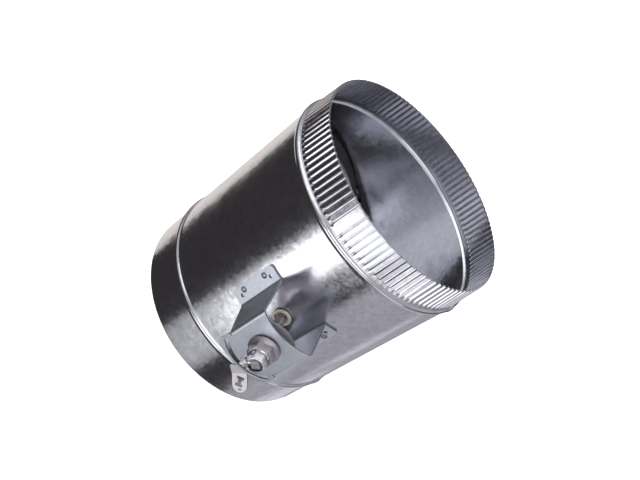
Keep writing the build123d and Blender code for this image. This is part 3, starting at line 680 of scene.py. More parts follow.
# ---------------------------------------------------------------- finishes
class Effects:
    """Shader node groups that several finishes share.

    Scales are counts in a metre, on object coordinates.
    """

    OUTLINE_SCALE = 90.0       # noise that makes the crystals' outlines ragged
    OUTLINE_SHIFT = 0.010      # how far it moves them, in metres
    SMALL_CRYSTAL = 2.9        # how much finer the small crystals are
    CRYSTAL_LEAN = 0.3         # share of the lean that changes from crystal to crystal
    WAVE_SCALE = 22.0          # broad waves of a hand-rolled sheet

    _made: dict[str, bpy.types.NodeTree] = {}

    @classmethod
    def _group(
        cls, name: str, inputs: dict[str, float], outputs: dict[str, str]
    ) -> tuple[bpy.types.NodeTree, bpy.types.Node, bpy.types.Node]:
        """New shader group with its two end nodes.

        Args:
            name: Name of the group.
            inputs: The default value of each named input.
            outputs: The socket type of each named output.

        Returns:
            The tree, its input node and its output node.
        """
        tree = bpy.data.node_groups.new(name, "ShaderNodeTree")
        for label, value in inputs.items():
            socket = tree.interface.new_socket(
                label, in_out="INPUT", socket_type="NodeSocketFloat"
            )
            socket.default_value = value
        for label, kind in outputs.items():
            tree.interface.new_socket(label, in_out="OUTPUT", socket_type=kind)
        cls._made[name] = tree
        return tree, tree.nodes.new("NodeGroupInput"), tree.nodes.new("NodeGroupOutput")

    @staticmethod
    def _noise(
        tree: bpy.types.NodeTree, scale: object, detail: float, roughness: float = 0.5
    ) -> bpy.types.Node:
        """Noise on object coordinates.

        Args:
            tree: The tree that gets the node.
            scale: A number, or the socket that gives it.
            detail: How many finer layers it has.
            roughness: How strong the finer layers are.

        Returns:
            The noise node.
        """
        noise = tree.nodes.new("ShaderNodeTexNoise")
        if isinstance(scale, bpy.types.NodeSocket):
            tree.links.new(scale, noise.inputs["Scale"])
        else:
            noise.inputs["Scale"].default_value = scale
        noise.inputs["Detail"].default_value = detail
        noise.inputs["Roughness"].default_value = roughness
        place = tree.nodes.new("ShaderNodeTexCoord").outputs["Object"]
        tree.links.new(place, noise.inputs["Vector"])
        return noise

    @classmethod
    def crystals(cls) -> bpy.types.NodeTree:
        """Zinc crystals: a shade for each one, and a normal that leans its own way.

        Returns:
            The shader group, made the first time it is asked for.
        """
        if "zinc_crystals" in cls._made:
            return cls._made["zinc_crystals"]
        tree, given, out = cls._group(
            "zinc_crystals",
            {"Fineness": 100.0, "Lean": 0.1, "Waviness": 0.3},
            {"Shade": "NodeSocketFloat", "Small Shade": "NodeSocketFloat",
             "Normal": "NodeSocketVector"},
        )
        fineness = given.outputs["Fineness"]
        place = tree.nodes.new("ShaderNodeTexCoord").outputs["Object"]
        wander = cls._noise(tree, cls.OUTLINE_SCALE, 2.0).outputs["Color"]
        ragged = worked_out(
            tree, "VectorMath", "MULTIPLY_ADD", wander, (cls.OUTLINE_SHIFT,) * 3, place
        )
        shades = []
        for label, factor in (("Shade", 1.0), ("Small Shade", cls.SMALL_CRYSTAL)):
            cells = tree.nodes.new("ShaderNodeTexVoronoi")
            cells.inputs["Randomness"].default_value = 1.0
            scale = worked_out(tree, "Math", "MULTIPLY", fineness, factor)
            tree.links.new(scale, cells.inputs["Scale"])
            tree.links.new(ragged, cells.inputs["Vector"])
            parts = tree.nodes.new("ShaderNodeSeparateColor")
            tree.links.new(cells.outputs["Color"], parts.inputs[0])
            tree.links.new(parts.outputs[0], out.inputs[label])
            shades.append(cells.outputs["Color"])
        soft = cls._noise(tree, fineness, 3.0, 0.65).outputs["Color"]
        share = cls.CRYSTAL_LEAN
        mixed = worked_out(tree, "VectorMath", "MULTIPLY_ADD", shades[0], (share,) * 3, soft)
        middle = (0.5 + share / 2,) * 3
        centred = worked_out(tree, "VectorMath", "SUBTRACT", mixed, middle)
        lean = worked_out(
            tree, "VectorMath", "SCALE", centred, None, None, given.outputs["Lean"]
        )
        waves = cls._noise(tree, cls.WAVE_SCALE, 1.0).outputs["Color"]
        rolled = worked_out(tree, "VectorMath", "SUBTRACT", waves, (0.5, 0.5, 0.5))
        wave = worked_out(
            tree, "VectorMath", "SCALE", rolled, None, None, given.outputs["Waviness"]
        )
        surface = tree.nodes.new("ShaderNodeNewGeometry").outputs["Normal"]
        leaning = worked_out(tree, "VectorMath", "ADD", surface, lean)
        waving = worked_out(tree, "VectorMath", "ADD", leaning, wave)
        unit = worked_out(tree, "VectorMath", "NORMALIZE", waving)
        tree.links.new(unit, out.inputs["Normal"])
        return tree

    @classmethod
    def grain(cls) -> bpy.types.NodeTree:
        """Fine grain for a bump, and a broad mask of handling marks.

        Returns:
            The shader group, made the first time it is asked for.
        """
        if "grain_and_marks" in cls._made:
            return cls._made["grain_and_marks"]
        tree, given, out = cls._group(
            "grain_and_marks",
            {"Fineness": 900.0, "Mark Fineness": 60.0},
            {"Grain": "NodeSocketFloat", "Marks": "NodeSocketFloat"},
        )
        for label, source, detail, roughness in (
            ("Grain", "Fineness", 4.0, 0.6), ("Marks", "Mark Fineness", 3.0, 0.55),
        ):
            noise = cls._noise(tree, given.outputs[source], detail, roughness)
            tree.links.new(noise.outputs[0], out.inputs[label])
        return tree


@dataclass(frozen=True)
class Finish:
    """A finish and how its material is made.

    Colours are linear. Crystal and grain fineness are counts in a metre.
    """

    name: str
    slot: str
    light: Triple
    dark: Triple
    roughness: float
    roughness_spread: float
    surface: Surface = Surface.METAL
    crystals: float = 300.0
    lean: float = 0.03
    waviness: float = 0.0
    grain: float = 1400.0
    marks: float = 70.0
    bump: float = 0.1
    bump_depth: float = 0.00005

    def material(self) -> bpy.types.Material:
        """The finish's material, made the first time it is asked for.

        Returns:
            The material.
        """
        known = bpy.data.materials.get(self.name)
        if known:
            return known
        material = bpy.data.materials.new(self.name)
        material.use_nodes = True
        tree = material.node_tree
        shader = tree.nodes["Principled BSDF"]
        metal = self.surface is Surface.METAL
        shader.inputs["Metallic"].default_value = 1.0 if metal else 0.0
        crystals = self._group(tree, Effects.crystals(), {
            "Fineness": self.crystals, "Lean": self.lean, "Waviness": self.waviness,
        })
        grain = self._group(tree, Effects.grain(), {
            "Fineness": self.grain, "Mark Fineness": self.marks,
        })
        self._colour(tree, shader, crystals, grain)
        self._roughness(tree, shader, crystals, grain)
        bump = tree.nodes.new("ShaderNodeBump")
        bump.inputs["Strength"].default_value = self.bump
        bump.inputs["Distance"].default_value = self.bump_depth
        tree.links.new(grain.outputs["Grain"], bump.inputs["Height"])
        tree.links.new(crystals.outputs["Normal"], bump.inputs["Normal"])
        tree.links.new(bump.outputs["Normal"], shader.inputs["Normal"])
        return material

    @staticmethod
    def _group(
        tree: bpy.types.NodeTree, group: bpy.types.NodeTree, values: dict[str, float]
    ) -> bpy.types.Node:
        """Place a shared group with its own values.

        Args:
            tree: The material's tree.
            group: The shared group.
            values: Value of each input by its name.

        Returns:
            The group's node.
        """
        node = tree.nodes.new("ShaderNodeGroup")
        node.node_tree = group
        for label, value in values.items():
            node.inputs[label].default_value = value
        return node

    def _colour(
        self, tree: bpy.types.NodeTree, shader: bpy.types.Node, crystals: bpy.types.Node,
        grain: bpy.types.Node,
    ) -> None:
        """Blend the two colours, half by crystal and half by mark.

        Args:
            tree: The material's tree.
            shader: The surface shader.
            crystals: Node of the crystals.
            grain: Node of the grain.
        """
        marks = worked_out(tree, "Math", "MULTIPLY", grain.outputs["Marks"], 0.5)
        share = worked_out(tree, "Math", "MULTIPLY_ADD", crystals.outputs["Shade"], 0.5, marks)
        blend = tree.nodes.new("ShaderNodeMix")
        blend.data_type = "RGBA"
        for socket, colour in zip(colour_sockets(blend.inputs), (self.dark, self.light)):
            socket.default_value = (*colour, 1.0)
        tree.links.new(share, blend.inputs[0])
        tree.links.new(colour_sockets(blend.outputs)[0], shader.inputs["Base Color"])

    def _roughness(
        self, tree: bpy.types.NodeTree, shader: bpy.types.Node, crystals: bpy.types.Node,
        grain: bpy.types.Node,
    ) -> None:
        """Roughness that changes from crystal to crystal and with the marks.

        Args:
            tree: The material's tree.
            shader: The surface shader.
            crystals: Node of the crystals.
            grain: Node of the grain.
        """
        change = worked_out(
            tree, "Math", "ADD", crystals.outputs["Small Shade"], grain.outputs["Marks"]
        )
        spread = self.roughness_spread
        rough = worked_out(
            tree, "Math", "MULTIPLY_ADD", change, spread, self.roughness - spread
        )
        tree.links.new(rough, shader.inputs["Roughness"])


@dataclass(frozen=True)
class Palette:
    """All the finishes of the damper."""

    casing: Finish = Finish(
        "spangled_zinc", "galvanised_sheet", (0.82, 0.82, 0.86), (0.66, 0.66, 0.71), 0.20, 0.08,
        crystals=210.0, lean=0.06, waviness=0.045, grain=1100.0, bump=0.05,
    )
    bracket: Finish = Finish(
        "galvanised_plate", "bracket_steel", (0.76, 0.79, 0.86), (0.62, 0.66, 0.73), 0.42, 0.08,
        crystals=500.0, grain=1800.0, bump=0.2,
    )
    # Cut edges: bare sheared steel, darkened further as painted shade so that the slot, the tab
    # opening and the gaps under sheet edges read dark.
    sheared_and_shaded: Finish = Finish(
        "sheared_edge_painted_shade", "bracket_steel", (0.36, 0.37, 0.40), (0.22, 0.23, 0.25), 0.48, 0.10,
        crystals=900.0, lean=0.05, grain=2600.0, bump=0.3,
    )
    lever: Finish = Finish(
        "pale_zinc_plate", "zinc_plated", (0.90, 0.85, 0.88), (0.78, 0.73, 0.76), 0.54, 0.08,
        crystals=420.0, lean=0.025, grain=2200.0,
    )
    bright: Finish = Finish(
        "bright_turned_steel", "bright_steel", (0.88, 0.86, 0.88), (0.76, 0.74, 0.78), 0.20, 0.08,
        crystals=600.0, grain=2600.0,
    )
    shaft: Finish = Finish(
        "drawn_square_bar", "bright_steel", (0.74, 0.71, 0.72), (0.52, 0.50, 0.51), 0.36, 0.12,
        crystals=500.0, grain=2200.0, bump=0.2,
    )
    nut: Finish = Finish(
        "dull_zinc_plate", "dull_zinc", (0.50, 0.455, 0.48), (0.37, 0.335, 0.36), 0.42, 0.10,
        crystals=700.0, grain=2400.0, bump=0.2,
    )
    spring: Finish = Finish(
        "spring_temper", "spring_steel", (0.34, 0.33, 0.35), (0.22, 0.21, 0.23), 0.36, 0.10,
        crystals=600.0, lean=0.02, grain=2000.0,
    )
    nylon: Finish = Finish(
        "moulded_nylon", "nylon", (0.66, 0.61, 0.52), (0.56, 0.51, 0.44), 0.50, 0.08,
        Surface.PLASTIC, crystals=300.0, lean=0.0, grain=1600.0,
    )
    rubber: Finish = Finish(
        "black_rubber_sheet", "black_rubber", (0.022, 0.022, 0.024), (0.010, 0.010, 0.011),
        0.62, 0.10, Surface.PLASTIC, crystals=300.0, lean=0.0, grain=1500.0, bump=0.5,
    )


# ---------------------------------------------------------------- casing
@dataclass
class DuctCasing:
    """Rolled tube with two beads, a lap seam and a crimped end."""

    palette: Palette
    radius: float = 127.0
    wall: float = 0.8
    length: float = 295.0
    rim_round: tuple[Point, Point] = ((0.35, 0.0), (0.08, 0.08))   # inset and height
    bead_radius: float = 4.5
    bead_proud: float = 2.3
    bead_blend: float = 0.35       # how softly a bead grows out of the tube
    beads: tuple[float, float] = (52.4, 253.6)
    foot_rings: Point = (0.25, 1.2)    # heights of the first rings of the tube
    bead_below: float = 5.6        # how far below a bead its rings start
    bead_above: float = 4.6        # how far above it they end
    near_bead: float = 4.7         # how near a bead its rings are closest together
    near_step: float = 0.6
    far_step: float = 0.9
    crimp_start: float = 258.5
    flutes: int = 117
    columns: tuple[float, ...] = (-0.5, -0.25, -0.18, -0.09, 0.0, 0.09, 0.18, 0.25)
    base_drop: float = 0.4
    crest_drop: float = 2.8
    flute_depth: float = 1.7
    flute_half: float = 0.25       # half of a groove, in pitches
    flute_ramp: float = 0.10       # share of the crimps' height in which a groove deepens
    stops: tuple[float, ...] = (0.0, 0.02, 0.045, 0.075, 0.11, 0.16, 0.40, 0.70, 0.93, 0.985)
    seam_angle: float = 64.0
    seam_width: float = 12.0
    seam_step: float = 0.8         # width over which the lap comes up
    wide_land: int = 111           # the pitch that stays plain beside a groove

    def swell(self, height: float) -> float:
        """How far the beads push the sheet out at a height.

        Args:
            height: Height above the duct's foot.

        Returns:
            The swell, 0 off the beads.
        """
        sunk = self.bead_radius - self.bead_proud
        foot = (math.sqrt(sunk * sunk + self.bead_blend) - sunk) / 2
        out = 0.0
        for bead in self.beads:
            away = abs(height - bead)
            cap = math.sqrt(max(0.0, self.bead_radius ** 2 - away ** 2)) - sunk
            rise = (cap + math.sqrt(cap * cap + self.bead_blend)) / 2
            out += max(0.0, rise - foot)
        return min(out, self.bead_proud)

    def heights(self) -> list[float]:
        """Heights of the rings of the tube, close together at the beads.

        Returns:
            The heights, from the foot up.
        """
        rings = list(self.foot_rings)
        for bead in self.beads:
            offset = -self.bead_below
            while offset < self.bead_above:
                rings.append(bead + offset)
                offset += self.near_step if abs(offset) < self.near_bead else self.far_step
        rings.append(self.crimp_start - self.foot_rings[0])
        return rings

    def lap(self, angle: float) -> float:
        """Extra thickness of the lap seam at an angle round the duct.

        Args:
            angle: Angle in degrees.

        Returns:
            The extra thickness, 0 off the seam.
        """
        turn = abs((angle - self.seam_angle + 180) % 360 - 180)
        away = turn * math.pi / 180 * self.radius
        share = (self.seam_width / 2 - away) / self.seam_step + 0.5
        return self.wall * max(0.0, min(1.0, share))

    def angles(self) -> list[float]:
        """Angles of the columns of points round the tube."""
        pitch = 360.0 / self.flutes
        return [(flute + part) * pitch for flute in range(self.flutes) for part in self.columns]

    def tube(self) -> bpy.types.Mesh:
        """Plain wall with its beads, open towards the crimps.

        Returns:
            The tube's mesh.
        """
        outer = [(self.radius - inset, height) for inset, height in self.rim_round]
        outer += [(self.radius + self.swell(h), h) for h in self.heights()]
        outer.append((self.radius - self.base_drop, self.crimp_start))
        inner = [(r - self.wall, h) for r, h in outer[2:]]
        inner = [(self.radius - self.wall, 0.1), (self.radius - self.wall + 0.1, 0.0)] + inner
        profile = list(reversed(inner)) + outer
        first_outer = len(inner)
        points, faces = [], []
        angles = self.angles()
        count = len(profile)
        for i, angle in enumerate(angles):
            turn = math.radians(angle - 90)
            extra = self.lap(angle)
            for j, (r, h) in enumerate(profile):
                grown = r + (extra if j >= first_outer and h < self.crimp_start - 1 else 0.0)
                points.append((grown * math.cos(turn), grown * math.sin(turn), h))
            n = (i + 1) % len(angles)
            for j in range(count - 1):
                faces.append((i * count + j, i * count + j + 1, n * count + j + 1, n * count + j))
        mesh = bpy.data.meshes.new("tube")
        mesh.from_pydata(points, [], faces)
        return mesh

    def flute(self, depth: float) -> bpy.types.Mesh:
        """One pitch of the crimped wall, inside, rim and outside, at the regulator.

        Args:
            depth: Depth of the groove at the rim; 0 for a plain land.

        Returns:
            The open strip.
        """
        pitch = 2 * math.pi / self.flutes
        run = self.length - self.crimp_start
        points, faces = [], []
        columns = (*self.columns, 0.5)
        for part in columns:
            inside = abs(part) < self.flute_half
            groove = math.cos(math.pi * part / (2 * self.flute_half)) if inside else 0.0
            loop: list[Point] = []
            for share in self.stops:
                crest = self.radius - self.base_drop - (self.crest_drop - self.base_drop) * share
                ramp = min(1.0, share / self.flute_ramp)
                ramp = ramp * ramp * (3 - 2 * ramp)
                sunk = depth * groove * ramp * (0.8 + 0.2 * share)
                loop.append((crest - sunk, self.crimp_start + run * share))
            rim = loop[-1][0]
            inner = [(r - self.wall, h) for r, h in reversed(loop)]
            loop += [(rim - 0.2, self.length), (rim - self.wall + 0.2, self.length)] + inner
            turn = part * pitch - math.pi / 2
            points += [(r * math.cos(turn), r * math.sin(turn), h) for r, h in loop]
        count = len(points) // len(columns)
        for i in range(len(columns) - 1):
            for j in range(count - 1):
                corner = i * count + j
                faces.append((corner, corner + count, corner + count + 1, corner + 1))
        mesh = bpy.data.meshes.new("flute")
        mesh.from_pydata(points, [], faces)
        return mesh

    def crimps(self) -> bpy.types.Mesh:
        """All the crimps, with plain lands at the seam and at the wide land.

        Returns:
            The crimps' mesh.
        """
        plain = bpy.data.objects.new("plain_land", self.flute(0.0))
        bpy.context.scene.collection.objects.link(plain)
        pitch = 360.0 / self.flutes
        mesh = Repeats.run(self.flute(self.flute_depth), Repeats.ring_tree(), {
            "Plain Shape": plain, "Count": self.flutes, "First Turn": 0.0,
            "First Plain": round((self.seam_angle - pitch / 2) / pitch), "Plain Count": 2,
            "Spare Plain": self.wide_land, "Material": self.palette.casing.material(),
        })
        bpy.data.objects.remove(plain)
        return mesh

    def build(self) -> None:
        """Make the casing as one sheet."""
        whole = join([self.tube(), self.crimps()], merge=0.02)
        form = bmesh.new()
        form.from_mesh(whole)
        bmesh.ops.recalc_face_normals(form, faces=form.faces)
        turn_outwards(form)
        form.to_mesh(whole)
        form.free()
        add_piece("rolled_casing", whole, Matrix.Identity(4), Body.CASING, self.palette.casing,
                  "duct_casing", 48.0)


# ---------------------------------------------------------------- bearings
@dataclass
class Bearings:
    """Two nylon bearings with their rubber washers and push-on clips."""

    palette: Palette
    bore: float = 5.48
    body: float = 8.48
    flange: float = 10.0
    inner_end: float = 122.6
    seat: float = 128.2
    face: float = 130.2
    closed_end: float = 133.0
    cap: float = 2.0
    lip: float = 7.2
    recess: float = 2.4
    seal: float = 9.7
    seal_low: float = 126.65
    play: float = 0.1
    clip: float = 11.0
    clip_sheet: float = 1.2
    clip_reach: float = 124.37
    clip_split: float = 1.5

    def front(self) -> bpy.types.Mesh:
        """Open bearing with a raised rim round the shaft.

        Returns:
            The mesh, with z outwards from the duct axis.
        """
        return lathe(rounded([
            (self.bore, self.inner_end, 0.4), (self.body, self.inner_end, 0.8),
            (self.body, self.seat, 0.0),
            (self.flange, self.seat, 0.2), (self.flange, self.face - 0.7, 0.5),
            (self.body, self.face - 0.6, 0.1), (self.body - 0.4, self.face, 0.4),
            (self.lip, self.face, 0.4), (self.lip - 0.2, self.face - self.recess, 0.2),
            (self.bore, self.face - self.recess, 0.2),
        ], 4))

    def rear(self) -> bpy.types.Mesh:
        """Closed bearing with a rounded cap.

        Returns:
            The mesh, with z outwards from the duct axis.
        """
        return lathe(rounded([
            (0.0, self.closed_end - self.cap, 0.0), (self.bore, self.closed_end - self.cap, 0.0),
            (self.bore, self.inner_end, 0.4), (self.body, self.inner_end, 0.8),
            (self.body, self.seat, 0.0),
            (self.flange, self.seat, 0.2), (self.flange, self.face, 0.5),
            (self.body, self.face, 0.2),
            (self.body, self.closed_end, 1.3), (0.0, self.closed_end, 0.0),
        ], 4))

    def washer(self) -> bpy.types.Mesh:
        """Rubber washer under the flange, squeezed at its rim.

        Returns:
            The mesh, with z outwards from the duct axis.
        """
        hole = self.body + self.play
        return lathe(rounded([
            (hole, self.seal_low, 0.0), (self.seal - 0.4, self.seal_low, 0.3),
            (self.seal, self.seat - 0.6, 0.3), (self.seal - 0.2, self.seat, 0.2),
            (hole, self.seat, 0.0),
        ], 4))

    def split_ring(self) -> bpy.types.Mesh:
        """Push-on ring, open at the bottom.

        Returns:
            The mesh, with its middle at z 0.
        """
        hole = self.body + self.play
        outer = math.degrees(math.asin(self.clip_split / 2 / self.clip))
        inner = math.degrees(math.asin(self.clip_split / 2 / hole))
        loop = arc(self.clip, -90 + outer, 270 - outer, 64)
        loop += list(reversed(arc(hole, -90 + inner, 270 - inner, 64)))
        return sheet([loop], self.clip_sheet, 0.25)

    def build(self) -> None:
        """Make both bearings with all that holds them."""
        nylon, rubber, spring = self.palette.nylon, self.palette.rubber, self.palette.spring
        ring = Matrix.Translation((0, 0, self.clip_reach + self.clip_sheet / 2))
        for name, shape, place, finish, node in (
            ("shaft_bearing", self.front(), OUTWARD, nylon, "front_bearing"),
            ("closed_bearing", self.rear(), BEHIND, nylon, "rear_bearing"),
            ("bearing_washer", self.washer(), OUTWARD, rubber, "front_bearing_seal"),
            ("closed_bearing_washer", self.washer(), BEHIND, rubber, "rear_bearing_seal"),
            ("bearing_ring", self.split_ring(), OUTWARD @ ring, spring, "front_bearing_clip"),
            ("closed_bearing_ring", self.split_ring(), BEHIND @ ring, spring, "rear_bearing_clip"),
        ):
            add_piece(name, shape, place, Body.CASING, finish, node)


# ---------------------------------------------------------------- bracket
@dataclass
class StandoffBracket:
    """Bent sheet bracket: flat plate, two legs and two riveted feet."""

    palette: Palette
    casing_radius: float = 127.0
    sheet: float = 2.0
    middle_reach: float = 175.0
    bend: float = 3.0
    half_width: float = 31.75
    near_radius: float = 61.5
    near_offset: float = 24.9
    far_radius: float = 63.5
    far_offset: float = 42.9
    corner: float = 6.0
    leg_near: float = 33.1
    leg_near_foot: float = 30.3
    leg_waist: float = 0.55        # share of the leg at which its near edge bends
    leg_far: float = -18.0
    leg_far_foot: float = -30.5
    bow_half: float = 27.5         # half width of the round part of the far edge
    relief: float = 0.7
    foot_width: float = 16.5
    foot_corner: float = 4.5
    bend_steps: int = 9
    hub_hole: float = 10.0
    slot_radius: float = 38.1
    slot_width: float = 5.2
    slot_swing: float = 45.0
    rivet_spacing: float = 31.5
    rivet_inset: float = 5.6
    rivet_head: float = 3.3
    rivet_height: float = 1.1
    rivet_eye: float = 1.7
    rivet_bottom: float = 0.9
    rivet_shank: float = 1.6
    rivet_tail: float = 0.6
    tail_radius: float = 2.4
    wall: float = 0.8
    pilot_spacing: float = 43.5
    pilot_inset: float = 9.5
    pilot_radius: float = 2.0
    flat: float = field(init=False)
    leg_start: float = field(init=False)
    knee_start: float = field(init=False)
    foot_start: float = field(init=False)
    foot_end: float = field(init=False)
    slope: float = field(init=False)

    def __post_init__(self) -> None:
        """Work out where each stretch of the unfolded sheet begins."""
        self.slope = math.asin((self.half_width + self.foot_width / 2) / self.casing_radius)
        leg = self.half_width - self.sheet / 2
        rise = self.casing_radius + self.sheet / 2
        knee_turn = math.pi / 2 - self.slope
        knee_reach = (rise - leg * math.sin(self.slope)) / math.cos(self.slope)
        tangent = self.bend * math.tan(knee_turn / 2)
        self.flat = leg - self.bend
        self.leg_start = self.flat + self.bend * math.pi / 2
        self.knee_start = self.leg_start + self.middle_reach - self.bend - knee_reach - tangent
        self.foot_start = self.knee_start + self.bend * knee_turn
        run = self.foot_width / 2 / math.cos(self.slope)
        end = Vector((rise * math.sin(self.slope) + run * math.cos(self.slope),
                      rise * math.cos(self.slope) - run * math.sin(self.slope)))
        self.foot_end = self.foot_start + (end - Vector((leg, knee_reach))).length - tangent

    def fold(self, across: float, along: float, lift: float) -> tuple[float, float, float]:
        """Place of a point of the unfolded sheet once it is bent.

        Args:
            across: Distance from the middle of the sheet.
            along: Height from the shaft axis.
            lift: Height from the middle of the sheet's thickness.

        Returns:
            Local x, y and reach.
        """
        side = math.copysign(1.0, across)
        s = abs(across)
        top = self.middle_reach - self.bend
        leg = self.flat + self.bend
        lip = s <= self.half_width + 0.01 and along < self.leg_far - self.relief / 2
        if s <= self.flat or lip:
            x, reach = s, self.middle_reach + lift
        elif s <= self.leg_start:
            turn = (s - self.flat) / self.bend
            x = self.flat + (self.bend + lift) * math.sin(turn)
            reach = top + (self.bend + lift) * math.cos(turn)
        elif s <= self.knee_start:
            x, reach = leg + lift, top - (s - self.leg_start)
        else:
            knee = top - (self.knee_start - self.leg_start)
            turn = min((s - self.knee_start) / self.bend, math.pi / 2 - self.slope)
            rest = max(0.0, s - self.foot_start)
            x = leg + self.bend - (self.bend - lift) * math.cos(turn) + rest * math.sin(turn)
            reach = knee - (self.bend - lift) * math.sin(turn) - rest * math.cos(turn)
        return side * x, along, reach

    def near_edge(self, x: float) -> float:
        """Height of the hollow edge at a distance from the middle."""
        return self.near_offset + self.near_radius - math.sqrt(self.near_radius ** 2 - x * x)

    def outline(self) -> list[Point]:
        """Outline of the unfolded sheet.

        Returns:
            The loop, with x along the legs.
        """
        near = [(self.flat * i / 10, self.near_edge(self.flat * i / 10)) for i in range(11)]
        for i in range(1, 5):
            turn = math.pi / 2 * i / 4
            edge = self.near_edge(self.flat + self.bend * math.sin(turn))
            near.append((self.flat + self.bend * turn, edge))
        leg = self.knee_start - self.leg_start
        near.append((self.leg_start + self.leg_waist * leg, self.leg_near))
        near.append((self.knee_start - 2.0, self.leg_near_foot + 1.6))
        foot = rounded([
            (self.foot_start, self.leg_near_foot, 0.0),
            (self.foot_end, self.leg_near_foot, self.foot_corner),
            (self.foot_end, self.leg_far_foot, self.foot_corner),
            (self.foot_start, self.leg_far_foot, 0.0),
        ])
        far = [
            (self.knee_start, self.leg_far_foot), (self.leg_start, self.leg_far),
            (self.flat, self.leg_far), (self.flat, self.leg_far - self.relief),
            (self.half_width, self.leg_far - self.relief),
        ]
        middle = self.far_radius - self.far_offset
        corner_height = middle - math.sqrt(self.far_radius ** 2 - self.half_width ** 2)
        end = math.degrees(math.asin(self.bow_half / self.far_radius))
        bow = arc(self.far_radius, -90 + end, -90, 12, (0.0, middle))
        corner = rounded([
            (self.half_width, self.leg_far - 1.5, 0.0),
            (self.half_width, corner_height, self.corner),
            (bow[0][0], bow[0][1], 0.0),
        ])
        right = near + foot + far + corner[1:-1] + bow
        return right + mirrored(right)[1:-1]

    def slot(self) -> list[Point]:
        """Outline of the curved slot for the stop pin.

        Returns:
            The loop, round the shaft axis.
        """
        half = self.slot_width / 2
        first, last = -90 - self.slot_swing, -90 + self.slot_swing
        loop = arc(self.slot_radius + half, first, last, 30)
        for angle, start in ((last, last), (first, first + 180)):
            turn = math.radians(angle)
            centre = (self.slot_radius * math.cos(turn), self.slot_radius * math.sin(turn))
            loop += arc(half, start, start + 180, 8, centre)[1:-1]
            if angle == last:
                loop += arc(self.slot_radius - half, last, first, 30)
        return loop

    def plate(self) -> bpy.types.Mesh:
        """The bent sheet.

        Returns:
            The mesh of the whole bracket.
        """
        across, along = self.foot_end - self.pilot_inset, self.pilot_spacing / 2
        pilots = [
            circle(self.pilot_radius, (side * across, part * along), 32)
            for side in (-1, 1) for part in (-1, 1)
        ]
        loops = [self.outline(), circle(self.hub_hole), self.slot(), *pilots]
        mesh = sheet(loops, self.sheet, 0.25)
        places = []
        for start, end in ((self.flat, self.leg_start), (self.knee_start, self.foot_start)):
            for i in range(self.bend_steps + 1):
                place = start + (end - start) * i / self.bend_steps
                places += [place, -place]
        cut_lines(mesh, 0, places)
        for point in mesh.vertices:
            point.co = self.fold(*point.co)
        mesh.update()
        return mesh

    def rivets(self) -> bpy.types.Mesh:
        """Hollow rivet heads, two on each foot.

        Returns:
            The mesh of all four.
        """
        inside = -self.sheet - self.wall - 0.2
        end = inside - self.rivet_tail
        head = lathe(rounded([
            (self.rivet_bottom, end, 0.0), (self.tail_radius, end, 0.2),
            (self.tail_radius, inside, 0.0), (self.rivet_shank, inside, 0.0),
            (self.rivet_shank, 0.0, 0.0), (self.rivet_head, 0.0, 0.0), (self.rivet_head, 0.35, 0.2),
            (self.rivet_head * 0.76, self.rivet_height, 0.5),
            (self.rivet_eye, self.rivet_height * 0.8, 0.2), (self.rivet_bottom, -0.6, 0.2),
        ], 4), 32)
        heads = []
        for side in (-1, 1):
            spot = Vector(self.fold(side * (self.foot_end - self.rivet_inset), 0.0, self.sheet / 2))
            copy = head.copy()
            copy.transform(Matrix.Translation(spot) @ Matrix.Rotation(side * self.slope, 4, "Y"))
            heads.append(copy)
        pair = join(heads)
        return Repeats.run(pair, Repeats.grid_tree(), {
            "Columns": 1, "Rows": 2, "Column Spacing": 0.0, "Row Spacing": self.rivet_spacing,
            "Material": self.palette.bracket.material(),
        })

    def build(self) -> None:
        """Make the bracket and its rivets."""
        palette = self.palette
        # The bracket's cut edges take the darker edge finish: bare steel plus painted shade in the
        # slot and along its edges.
        add_piece("folded_bracket", self.plate(), OUTWARD, Body.CASING, palette.bracket,
                  "standoff_bracket", edge=palette.sheared_and_shaded)
        add_piece("foot_rivets", self.rivets(), OUTWARD, Body.CASING, palette.spring,
                  "bracket_rivets")


